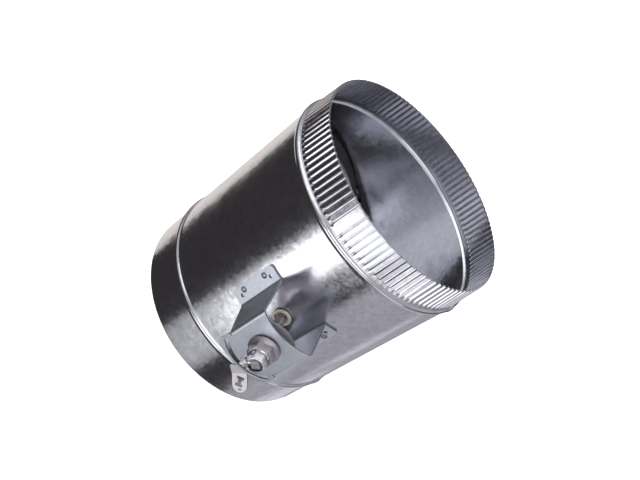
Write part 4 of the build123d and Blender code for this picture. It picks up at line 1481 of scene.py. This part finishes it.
# ---------------------------------------------------------------- blade
@dataclass
class Blade:
    """Rubber-sealed blade on its square shaft."""

    palette: Palette
    shaft_side: float = 8.0
    shaft_corner: float = 0.6
    shaft_start: float = -130.0
    shaft_end: float = 201.3
    face: float = 4.0
    plate_sheet: float = 0.9
    rubber: float = 6.0
    plate_radius: float = 112.0
    clamp_radius: float = 104.0
    rubber_radius: float = 125.327
    notch_reach: float = 120.4
    notch_half: float = 13.0
    rivets: int = 8
    rivet_circle: float = 92.0
    rivet_shank: float = 2.0
    rivet_head: float = 3.3
    rivet_height: float = 1.1
    strap_spacing: float = 80.0
    bolt_offset: float = 11.6
    strap_sheet: float = 1.5
    bolt: float = 2.5
    hexagon: float = 8.0
    chamfer: float = 0.7
    head_height: float = 3.5
    nut_height: float = 4.0
    tail: float = 0.8

    def layer(self, height: float) -> Matrix:
        """Frame of a blade layer whose middle is this far from the shaft axis."""
        return TURNED @ OPEN_BLADE @ Matrix.Translation((0, 0, height))

    def top(self) -> float:
        """Height of the clamp disc's face over the shaft axis."""
        return self.face + 2 * self.plate_sheet + self.rubber

    def rubber_outline(self) -> list[Point]:
        """Round edge, cut back beside each bearing.

        Returns:
            The loop, round the middle of the blade.
        """
        cut = math.degrees(math.asin(self.notch_half / self.rubber_radius))
        loop = arc(self.rubber_radius, cut, 180 - cut, 120)
        loop += [(-self.notch_reach, self.notch_half), (-self.notch_reach, -self.notch_half)]
        loop += arc(self.rubber_radius, 180 + cut, 360 - cut, 120)
        return loop + [(self.notch_reach, -self.notch_half), (self.notch_reach, self.notch_half)]

    def rivet_ring(self) -> bpy.types.Mesh:
        """Rivets that clamp the layers, a head on each side.

        Returns:
            The mesh of the whole ring.
        """
        low, high, head = self.face, self.top(), self.rivet_head
        rivet = lathe(rounded([
            (0.0, low - self.rivet_height, 0.0), (head * 0.8, low - self.rivet_height, 0.6),
            (head, low - 0.1, 0.2), (head, low, 0.0),
            (self.rivet_shank, low, 0.0), (self.rivet_shank, high, 0.0),
            (head, high, 0.0), (head, high + 0.1, 0.2),
            (head * 0.8, high + self.rivet_height, 0.6), (0.0, high + self.rivet_height, 0.0),
        ], 3), 32)
        rivet.transform(Matrix.Translation((self.rivet_circle, 0, 0)))
        return Repeats.run(rivet, Repeats.ring_tree(), {
            "Count": self.rivets, "First Turn": math.pi / self.rivets, "First Plain": NO_COPY,
            "Plain Count": 0, "Spare Plain": NO_COPY, "Material": self.palette.lever.material(),
        })

    def at_bolts(self, shape: bpy.types.Mesh) -> bpy.types.Mesh:
        """Copies of a shape at the six strap bolts.

        Args:
            shape: One bolt or nut on the z axis.

        Returns:
            The mesh of all six.
        """
        return Repeats.run(shape, Repeats.grid_tree(), {
            "Columns": 3, "Rows": 2, "Column Spacing": self.strap_spacing,
            "Row Spacing": 2 * self.bolt_offset, "Material": self.palette.nut.material(),
        })

    def bolts(self) -> bpy.types.Mesh:
        """Hexagon bolts, heads on the straps.

        Returns:
            The mesh of all six.
        """
        seat = self.face - self.strap_sheet
        high = self.head_height - seat
        head = hexagon_body(self.hexagon, -seat, high, self.chamfer, lambda a: 0.0)
        head.transform(Matrix.Rotation(math.pi, 4, "X"))
        end = self.top() + self.nut_height + self.tail
        shank = lathe(rounded([
            (0.0, seat, 0.0), (self.bolt, seat, 0.0), (self.bolt, end, 0.5), (0.0, end, 0.0),
        ]), 32)
        return self.at_bolts(join([head, shank]))

    def nuts(self) -> bpy.types.Mesh:
        """Hexagon nuts on the far side.

        Returns:
            The mesh of all six.
        """
        low, high = self.top(), self.top() + self.nut_height
        nut = hexagon_body(self.hexagon, low, high, self.chamfer, lambda a: self.bolt + 0.1)
        return self.at_bolts(nut)

    def shaft(self) -> bpy.types.Mesh:
        """Square bar with softened corners and ends.

        Returns:
            The mesh, with z along the reach.
        """
        half, corner = self.shaft_side / 2, self.shaft_corner
        square = [(half, half), (-half, half), (-half, -half), (half, -half)]
        outline = rounded([(x, y, corner) for x, y in square], 4)
        bar = sheet([outline], self.shaft_end - self.shaft_start, 0.3)
        bar.transform(Matrix.Translation((0, 0, (self.shaft_end + self.shaft_start) / 2)))
        return bar

    def build(self) -> None:
        """Make the shaft, the layers of the blade and their fixings."""
        palette = self.palette
        back = self.face + self.plate_sheet / 2
        gasket = self.face + self.plate_sheet + self.rubber / 2
        clamp = self.face + 1.5 * self.plate_sheet + self.rubber
        disc = sheet([circle(self.plate_radius, steps=240)], self.plate_sheet, 0.2)
        cover = sheet([circle(self.clamp_radius, steps=240)], self.plate_sheet, 0.2)
        seal = sheet([self.rubber_outline()], self.rubber, 1.0)
        flat = self.layer(0)
        for name, shape, place, finish, node in (
            ("square_shaft", self.shaft(), TURNED @ OUTWARD, palette.shaft, "blade_shaft"),
            ("blade_disc", disc, self.layer(back), palette.casing, "blade_plate"),
            ("blade_rubber", seal, self.layer(gasket), palette.rubber, "blade_gasket"),
            ("clamp_disc", cover, self.layer(clamp), palette.casing, "clamp_plate"),
            ("clamp_rivets", self.rivet_ring(), flat, palette.lever, "blade_rivets"),
            ("hexagon_bolts", self.bolts(), flat, palette.nut, "strap_bolts"),
            ("hexagon_nuts", self.nuts(), flat, palette.nut, "strap_nuts"),
        ):
            add_piece(name, shape, place, Body.BLADE, finish, node)
        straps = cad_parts["shaft_straps"]
        straps.data.materials.clear()
        straps.data.materials.append(palette.bracket.material())
        LOG.info("shaft_straps dressed on %s", Body.BLADE.value)


# ---------------------------------------------------------------- regulator
@dataclass
class Regulator:
    """Hub, lever, washers and lock nut outside the casing."""

    palette: Palette
    hub_radius: float = 9.6
    hub_flange: float = 15.0
    hub_low: float = 163.5
    lever_under: float = 167.0
    lever_sheet: float = 2.0
    thread_start: float = 173.0
    thread_end: float = 188.7
    thread_pitch: float = 1.0
    thread_depth: float = 0.35
    hexagon_base: float = 189.9
    hub_top: float = 200.3
    hub_hexagon: float = 16.5
    shaft_side: float = 8.0
    seat_slack: float = 0.1
    loose_slack: float = 2.6
    screw_reach: float = 196.4
    screw_start: float = 11.0
    screw_head: float = 4.0
    screw_hexagon: float = 8.0
    screw_radius: float = 2.5
    disc: float = 27.7
    arm_half: float = 5.8
    pin_circle: float = 38.1
    pin_radius: float = 1.8
    pin_head: float = 3.0
    pin_top: float = 175.4
    tab_side: float = -39.2
    tab_bend_at: float = -42.7
    tab_width: float = 16.6
    tab_length: float = 19.0
    tab_root: float = 12.0
    tab_turn: float = 27.0
    tab_bend: float = 3.0
    grip_from_bend: float = 7.8
    grip_turn: float = -18.0
    grip_bar: float = 4.0          # half length of each bar of the double T
    grip_stem: float = 1.9         # half width of its stem
    grip_half: float = 5.1         # half of its height
    grip_thick: float = 2.9        # thickness of each bar
    dimple_from_bend: float = 15.9
    dimple: Point = (2.0, 0.8)
    washer_radius: float = 16.0
    washer_sheet: float = 1.5
    spring_radius: float = 15.0
    spring_sheet: float = 1.2
    plate_under: float = 174.0
    plate_face: float = 176.0
    seat_washer: float = 13.0
    seat_sheet: float = 1.2
    nut_base: float = 177.3
    nut_height: float = 12.0
    nut_flange: float = 15.9
    nut_hexagon: float = 24.0
    nut_bore: float = 9.85
    nut_cone: float = 2.6
    nut_chamfer: float = 1.5
    nut_worn: float = 0.35         # how much each corner of the hexagon is worn down

    def square_hole(self, angle: float) -> float:
        """Radius of the hub's square hole, which sits off centre.

        Args:
            angle: Direction in radians.

        Returns:
            The radius in that direction.
        """
        low = -self.shaft_side / 2 - self.loose_slack
        high = self.shaft_side / 2 + self.seat_slack
        x, y = math.cos(angle), math.sin(angle)
        spans = []
        for part in (x, y):
            if abs(part) > 1e-6:
                spans.append((high if part > 0 else low) / part)
        return min(spans)

    def hub(self) -> bpy.types.Mesh:
        """Threaded barrel with a flange and a small hexagon.

        Returns:
            The mesh, with z along the reach.
        """
        barrel: list[tuple[float, Radius]] = [
            (self.hub_low, lambda a: self.hub_flange - 0.4),
            (self.hub_low + 0.4, lambda a: self.hub_flange),
            (self.lever_under, lambda a: self.hub_flange),
            (self.lever_under, lambda a: self.hub_radius),
        ]
        height = self.thread_start
        while height < self.thread_end:
            barrel += [(height, lambda a: self.hub_radius - self.thread_depth),
                       (height + self.thread_pitch / 2, lambda a: self.hub_radius)]
            height += self.thread_pitch
        barrel += [(self.hexagon_base - 1.0, lambda a: self.hub_radius),
                   (self.hexagon_base, lambda a: self.hub_radius - 1.0)]
        top = hexagon_body(self.hub_hexagon, self.hexagon_base, self.hub_top, 1.1,
                           self.square_hole)
        return join([polar_solid(barrel, self.square_hole, 192), top])

    def set_screw(self) -> bpy.types.Mesh:
        """Hexagon-headed screw with its shank.

        Returns:
            The mesh, with z outwards from the shaft.
        """
        low, half = self.screw_start, self.shaft_side / 2
        head = hexagon_body(self.screw_hexagon, low, low + self.screw_head, 0.8, lambda a: 0.0)
        shank = lathe(rounded([
            (0.0, half, 0.0), (self.screw_radius, half, 0.3),
            (self.screw_radius, low, 0.0), (0.0, low, 0.0),
        ]), 32)
        return join([head, shank])

    def lever_outline(self) -> list[Point]:
        """Disc, leaning arm and unfolded finger tab in one outline.

        Returns:
            The loop, round the shaft axis.
        """
        along = Vector((-math.sqrt(0.5), -math.sqrt(0.5)))
        right = Vector((math.sqrt(0.5), -math.sqrt(0.5)))
        spread = math.degrees(math.asin(self.arm_half / self.disc))
        loop = arc(self.disc, -135 + spread, 225 - spread, 90)
        half = self.tab_width / 2
        left_x, right_x = self.tab_side - half, self.tab_side + half
        top = self.tab_bend_at + self.tab_root
        tip = self.tab_bend_at - self.tab_length + half
        meet = (top + self.arm_half * right.y) / along.y
        left_edge = along * meet - right * self.arm_half
        corner = rounded([(left_edge.x, top, 0.0), (left_x, top, 3.0), (left_x, tip, 0.0)])
        loop += corner[:-1]
        loop += arc(half, 180, 360, 24, (self.tab_side, tip))
        reach = (right_x - self.arm_half * right.x) / along.x
        right_edge = along * reach + right * self.arm_half
        loop.append((right_edge.x, right_edge.y))
        return loop

    def grip(self) -> list[Point]:
        """Tilted double-T opening of the finger tab.

        Returns:
            The loop, on the unfolded tab.
        """
        bar, stem, high = self.grip_bar, self.grip_stem, self.grip_half
        inner = high - self.grip_thick
        upper = [(-stem, inner, 0.3), (-bar, inner, 0.5), (-bar, high, 0.5),
                 (bar, high, 0.5), (bar, inner, 0.5), (stem, inner, 0.3)]
        corners = upper[2:] + [(-x, -y, radius) for x, y, radius in upper] + upper[:2]
        turn = math.radians(self.grip_turn)
        place = Matrix.Translation((self.tab_side, self.tab_bend_at - self.grip_from_bend, 0.0))
        place = place @ Matrix.Rotation(turn, 4, "Z")
        spots = [place @ Vector((x, y, 0.0)) for x, y in rounded(corners, 3)]
        return [(spot.x, spot.y) for spot in spots]

    def lever(self) -> bpy.types.Mesh:
        """Pressed lever with its bent tab.

        Returns:
            The mesh, with z along the reach.
        """
        pin = (-self.pin_circle * math.sqrt(0.5), -self.pin_circle * math.sqrt(0.5))
        across, along = self.dimple
        middle = self.tab_bend_at - self.dimple_from_bend
        dimple = [
            (self.tab_side + across * x, middle + along * y) for x, y in circle(1.0, steps=20)
        ]
        loops = [self.lever_outline(), circle(self.hub_radius + 0.1),
                 circle(self.pin_radius, pin, 24), self.grip(), dimple]
        mesh = sheet(loops, self.lever_sheet, 0.3)
        turn = math.radians(self.tab_turn)
        start = self.tab_bend_at + self.tab_bend * math.tan(turn / 2)
        cut_lines(mesh, 1, [start - self.tab_bend * turn * i / 7 for i in range(8)])
        for point in mesh.vertices:
            x, y, lift = point.co
            past = start - y
            if past > 0:
                bent = min(past / self.tab_bend, turn)
                rest = max(0.0, past - self.tab_bend * turn)
                inner = self.tab_bend - lift
                y = start - inner * math.sin(bent) - rest * math.cos(bent)
                lift = self.tab_bend - inner * math.cos(bent) + rest * math.sin(bent)
            point.co = (x, y, lift)
        mesh.transform(Matrix.Translation((0, 0, self.lever_under + self.lever_sheet / 2)))
        return mesh

    def stop_pin(self) -> bpy.types.Mesh:
        """Pin that runs in the slot.

        Returns:
            The mesh, with z along the reach.
        """
        pin = lathe(rounded([
            (0.0, self.lever_under - 1.2, 0.0), (self.pin_head, self.lever_under - 1.2, 0.5),
            (self.pin_head, self.lever_under, 0.0), (self.pin_radius, self.lever_under, 0.0),
            (self.pin_radius, self.pin_top, 0.4), (0.0, self.pin_top, 0.0),
        ]), 32)
        spot = -self.pin_circle * math.sqrt(0.5)
        pin.transform(Matrix.Translation((spot, spot, 0)))
        return pin

    def lock_nut(self) -> bpy.types.Mesh:
        """Flanged nut: round flange, cone and chamfered hexagon.

        Returns:
            The mesh, with z along the reach.
        """
        base, top, across = self.nut_base, self.nut_base + self.nut_height, self.nut_hexagon
        edge = self.nut_flange - 0.4
        rings: list[tuple[float, Radius]] = [
            (base, lambda a: edge), (base + 0.4, lambda a: self.nut_flange),
            (base + 1.5, lambda a: self.nut_flange), (base + 2.0, lambda a: edge),
        ]
        for step in range(1, 9):
            t = step / 8
            cone = edge - (edge - across / 2) * t
            rings.append((
                base + 2.0 + self.nut_cone * t,
                lambda a, least=cone: max(hexagon_radius(a, across, self.nut_worn), least),
            ))
        rings += chamfer_rings(across, top, self.nut_chamfer, 0.6, self.nut_worn)
        return polar_solid(rings, lambda a: self.nut_bore, 192)

    def washers(self) -> None:
        """Nylon washer, cone spring and the washer under the nut."""
        inner = self.hub_radius + 0.4
        low = self.lever_under + self.lever_sheet
        high = low + self.washer_sheet
        turned, palette = TURNED @ OUTWARD, self.palette
        flat = lathe(rounded([
            (inner, low, 0.2), (self.washer_radius, low, 0.4),
            (self.washer_radius, high, 0.4), (inner, high, 0.2),
        ], 3))
        add_piece("nylon_washer", flat, turned, Body.BLADE, palette.nylon, "friction_washer")
        cone = lathe(rounded([
            (self.spring_radius, high, 0.2), (self.spring_radius, high + self.spring_sheet, 0.2),
            (inner, self.plate_under, 0.2), (inner, self.plate_under - self.spring_sheet, 0.2),
        ], 3))
        add_piece("cone_spring", cone, turned, Body.BLADE, palette.spring, "spring_washer")
        face = self.plate_face + self.seat_sheet
        seat = lathe(rounded([
            (inner, self.plate_face, 0.2), (self.seat_washer, self.plate_face, 0.2),
            (self.seat_washer, face, 0.3), (inner, face, 0.2),
        ], 3))
        add_piece("seat_washer", seat, OUTWARD, Body.CASING, palette.spring, "nut_washer")

    def build(self) -> None:
        """Make all the pieces of the regulator."""
        palette = self.palette
        turned = TURNED @ OUTWARD
        sideways = Matrix(((0, 0, -1, 0), (0, 1, 0, 0), (1, 0, 0, 0), (0, 0, 0, 1)))
        screw = TURNED @ Matrix.Translation((0, -self.screw_reach, SHAFT_HEIGHT)) @ sideways
        add_piece("threaded_hub", self.hub(), turned, Body.BLADE, palette.bright, "hub")
        add_piece("hub_screw", self.set_screw(), screw, Body.BLADE, palette.bright, "set_screw")
        # The lever's cut edges take the darker edge finish: bare steel plus painted shade in the
        # grip opening and along its edge.
        add_piece("pressed_lever", self.lever(), turned, Body.BLADE, palette.lever, "lever",
                  edge=palette.sheared_and_shaded)
        add_piece("guide_pin", self.stop_pin(), turned, Body.BLADE, palette.bright, "stop_pin")
        self.washers()
        add_piece("flanged_nut", self.lock_nut(), turned, Body.LOCK_NUT, palette.nut, "lock_nut")


# ---------------------------------------------------------------- studio
WHITE = (1.0, 1.0, 1.0)
COOL = (0.95, 0.96, 1.0)
PALE_BLUE = (0.96, 0.98, 1.0)
PALE_LILAC = (0.97, 0.96, 1.0)
LILAC = (0.93, 0.92, 1.0)
WARM = (1.0, 0.93, 0.88)


@dataclass(frozen=True)
class SoftLight:
    """Rectangular light aimed at the middle of the casing.

    The angle is round the duct and the tilt above the horizon, both in degrees, the size is
    width and height in metres, the glow is how bright its face is, and the colour is linear.
    """

    name: str
    angle: float
    tilt: float
    size: Point
    glow: float
    colour: Triple

    def build(self, middle: float, distance: float) -> None:
        """Put the light in its place.

        Args:
            middle: Height that it aims at, in metres.
            distance: How far off it stands, in metres.
        """
        data = bpy.data.lights.new(self.name, "AREA")
        data.shape = "RECTANGLE"
        data.size, data.size_y = self.size
        data.energy = self.glow * math.pi * self.size[0] * self.size[1]
        data.color = self.colour
        lamp = bpy.data.objects.new(self.name, data)
        turn, rise = math.radians(self.angle), math.radians(self.tilt)
        flat = math.cos(rise)
        way = Vector((math.sin(turn) * flat, -math.cos(turn) * flat, math.sin(rise)))
        lamp.location = Vector((0.0, 0.0, middle)) + way * distance
        lamp.rotation_euler = way.to_track_quat("Z", "Y").to_euler()
        bpy.context.scene.collection.objects.link(lamp)


@dataclass
class Studio:
    """Pale floor, soft lights and the camera, in metres; lens and sensor in millimetres."""

    floor_size: float = 22.0
    floor_shade: float = 0.9
    floor_glow: float = 0.62
    floor_drop: float = 0.0005
    under_radius: float = 0.1263
    under_shade: float = 0.35
    under_drop: float = 0.0003
    light_distance: float = 1.6
    light_aim: float = 0.148
    camera_place: Triple = (-0.18631, -0.65621, 0.62230)
    camera_right: Triple = (0.67164, 0.29930, 0.67773)
    camera_up: Triple = (-0.70858, 0.52665, 0.46963)
    lens: float = 41.4
    sensor: float = 36.0
    above: Triple = (0.44, 0.45, 0.48)
    below: Triple = (0.034, 0.031, 0.033)
    horizon: Point = (-0.12, -0.02)    # where the dark ends and where the pale begins
    lights: tuple[SoftLight, ...] = (
        SoftLight("overhead", 0, 88, (1.7, 1.7), 0.3, WHITE),
        SoftLight("front_low", -12, -26.5, (0.82, 0.84), 1.3, WHITE),
        SoftLight("front_halo", -12, -31, (1.15, 1.2), 0.45, COOL),
        SoftLight("front_plate", 14, -18, (0.6, 0.42), 1.7, PALE_BLUE),
        SoftLight("front_right_mid", 48, -15, (1.3, 0.45), 0.95, PALE_LILAC),
        SoftLight("right_low", 76, -31, (1.9, 0.72), 0.37, LILAC),
        SoftLight("right_floor", 94, -54, (1.5, 0.6), 0.37, LILAC),
        SoftLight("back_right_low", 138, -38, (1.7, 1.1), 0.36, LILAC),
        SoftLight("back_left_low", -168, -36, (1.6, 1.1), 0.80, WARM),
        SoftLight("upper_left", -95, 42, (2.4, 1.1), 0.95, WHITE),
        SoftLight("upper_front", 0, 26, (1.4, 0.8), 1.2, WHITE),
    )

    @staticmethod
    def floor_material(name: str, shade: float, glow: float) -> bpy.types.Material:
        """Plain matt grey or white with a faint glow.

        Args:
            name: Name of the material.
            shade: How pale it is.
            glow: How brightly it shines by itself.

        Returns:
            The material.
        """
        material = bpy.data.materials.new(name)
        material.use_nodes = True
        shader = material.node_tree.nodes["Principled BSDF"]
        shader.inputs["Base Color"].default_value = (shade, shade, shade, 1.0)
        shader.inputs["Roughness"].default_value = 0.9
        shader.inputs["Emission Color"].default_value = (1.0, 1.0, 1.0, 1.0)
        shader.inputs["Emission Strength"].default_value = glow
        return material

    @staticmethod
    def lay(name: str, points: Sequence[Triple], faces: Sequence[Sequence[int]], drop: float,
            material: bpy.types.Material) -> bpy.types.Object:
        """Lay a flat piece below the duct.

        Args:
            name: Name of the piece.
            points: Its points.
            faces: Its faces as point numbers.
            drop: How far it lies below the duct's foot.
            material: Its material.

        Returns:
            The piece.
        """
        mesh = bpy.data.meshes.new(name)
        mesh.from_pydata(points, [], faces)
        mesh.materials.append(material)
        piece = bpy.data.objects.new(name, mesh)
        piece.location.z = -drop
        bpy.context.scene.collection.objects.link(piece)
        return piece

    def floor(self) -> None:
        """Pale floor and far walls that the metal doesn't mirror, with a grey disc of painted shade
        where the duct stands.
        """
        half = self.floor_size / 2
        corners = [(-half, -half), (half, -half), (half, half), (-half, half)]
        points = [(x, y, z) for z in (0.0, half) for x, y in corners]
        walls = [(n, (n + 1) % 4, (n + 1) % 4 + 4, n + 4) for n in range(4)]
        pale = self.floor_material("pale_floor", self.floor_shade, self.floor_glow)
        floor = self.lay("floor", points, [(0, 1, 2, 3), *walls], self.floor_drop, pale)
        floor.visible_glossy = False
        floor.visible_shadow = False
        # Grey disc under the duct's foot: its grey is painted shade for the floor inside the duct.
        # It also casts shadows.
        rim = [(x, y, 0.0) for x, y in circle(self.under_radius)]
        shaded = self.floor_material("painted_shade_floor", self.under_shade, 0.0)
        disc = [tuple(range(len(rim)))]
        patch = self.lay("floor_under_duct", rim, disc, self.under_drop, shaded)

    def world(self) -> None:
        """Surroundings that are pale above the horizon and dark below it."""
        world = bpy.data.worlds.new("surroundings")
        world.use_nodes = True
        tree = world.node_tree
        shade = tree.nodes["Background"]
        place = tree.nodes.new("ShaderNodeTexCoord")
        parts = tree.nodes.new("ShaderNodeSeparateXYZ")
        ramp = tree.nodes.new("ShaderNodeMapRange")
        ramp.inputs["From Min"].default_value = self.horizon[0]
        ramp.inputs["From Max"].default_value = self.horizon[1]
        blend = tree.nodes.new("ShaderNodeMix")
        blend.data_type = "RGBA"
        for socket, colour in zip(colour_sockets(blend.inputs), (self.below, self.above)):
            socket.default_value = (*colour, 1.0)
        tree.links.new(place.outputs["Generated"], parts.inputs[0])
        tree.links.new(parts.outputs["Z"], ramp.inputs["Value"])
        tree.links.new(ramp.outputs["Result"], blend.inputs[0])
        tree.links.new(colour_sockets(blend.outputs)[0], shade.inputs["Color"])
        bpy.context.scene.world = world

    def camera(self) -> None:
        """Camera above the regulator's left, rolled so that the duct lies aslant."""
        data = bpy.data.cameras.new("camera")
        data.lens = self.lens
        data.sensor_width = self.sensor
        data.clip_start = 0.01
        camera = bpy.data.objects.new("camera", data)
        right = Vector(self.camera_right).normalized()
        up = Vector(self.camera_up).normalized()
        back = right.cross(up)
        rows = [[right[i], up[i], back[i], self.camera_place[i]] for i in range(3)]
        camera.matrix_world = Matrix(rows + [[0, 0, 0, 1]])
        bpy.context.scene.collection.objects.link(camera)
        bpy.context.scene.camera = camera
        bpy.context.scene.view_settings.view_transform = "Standard"

    def build(self) -> None:
        """Set up the floor, the lights and the camera."""
        self.floor()
        self.world()
        for light in self.lights:
            light.build(self.light_aim, self.light_distance)
        self.camera()


def main() -> None:
    """Build the damper and its studio in order."""
    logging.basicConfig(level=logging.INFO, format="%(message)s")
    palette = Palette()
    for part in (DuctCasing(palette), Bearings(palette), StandoffBracket(palette), Blade(palette),
                 Regulator(palette), Studio()):
        LOG.info("building %s", type(part).__name__)
        part.build()


if __name__ == "__main__":
    main()
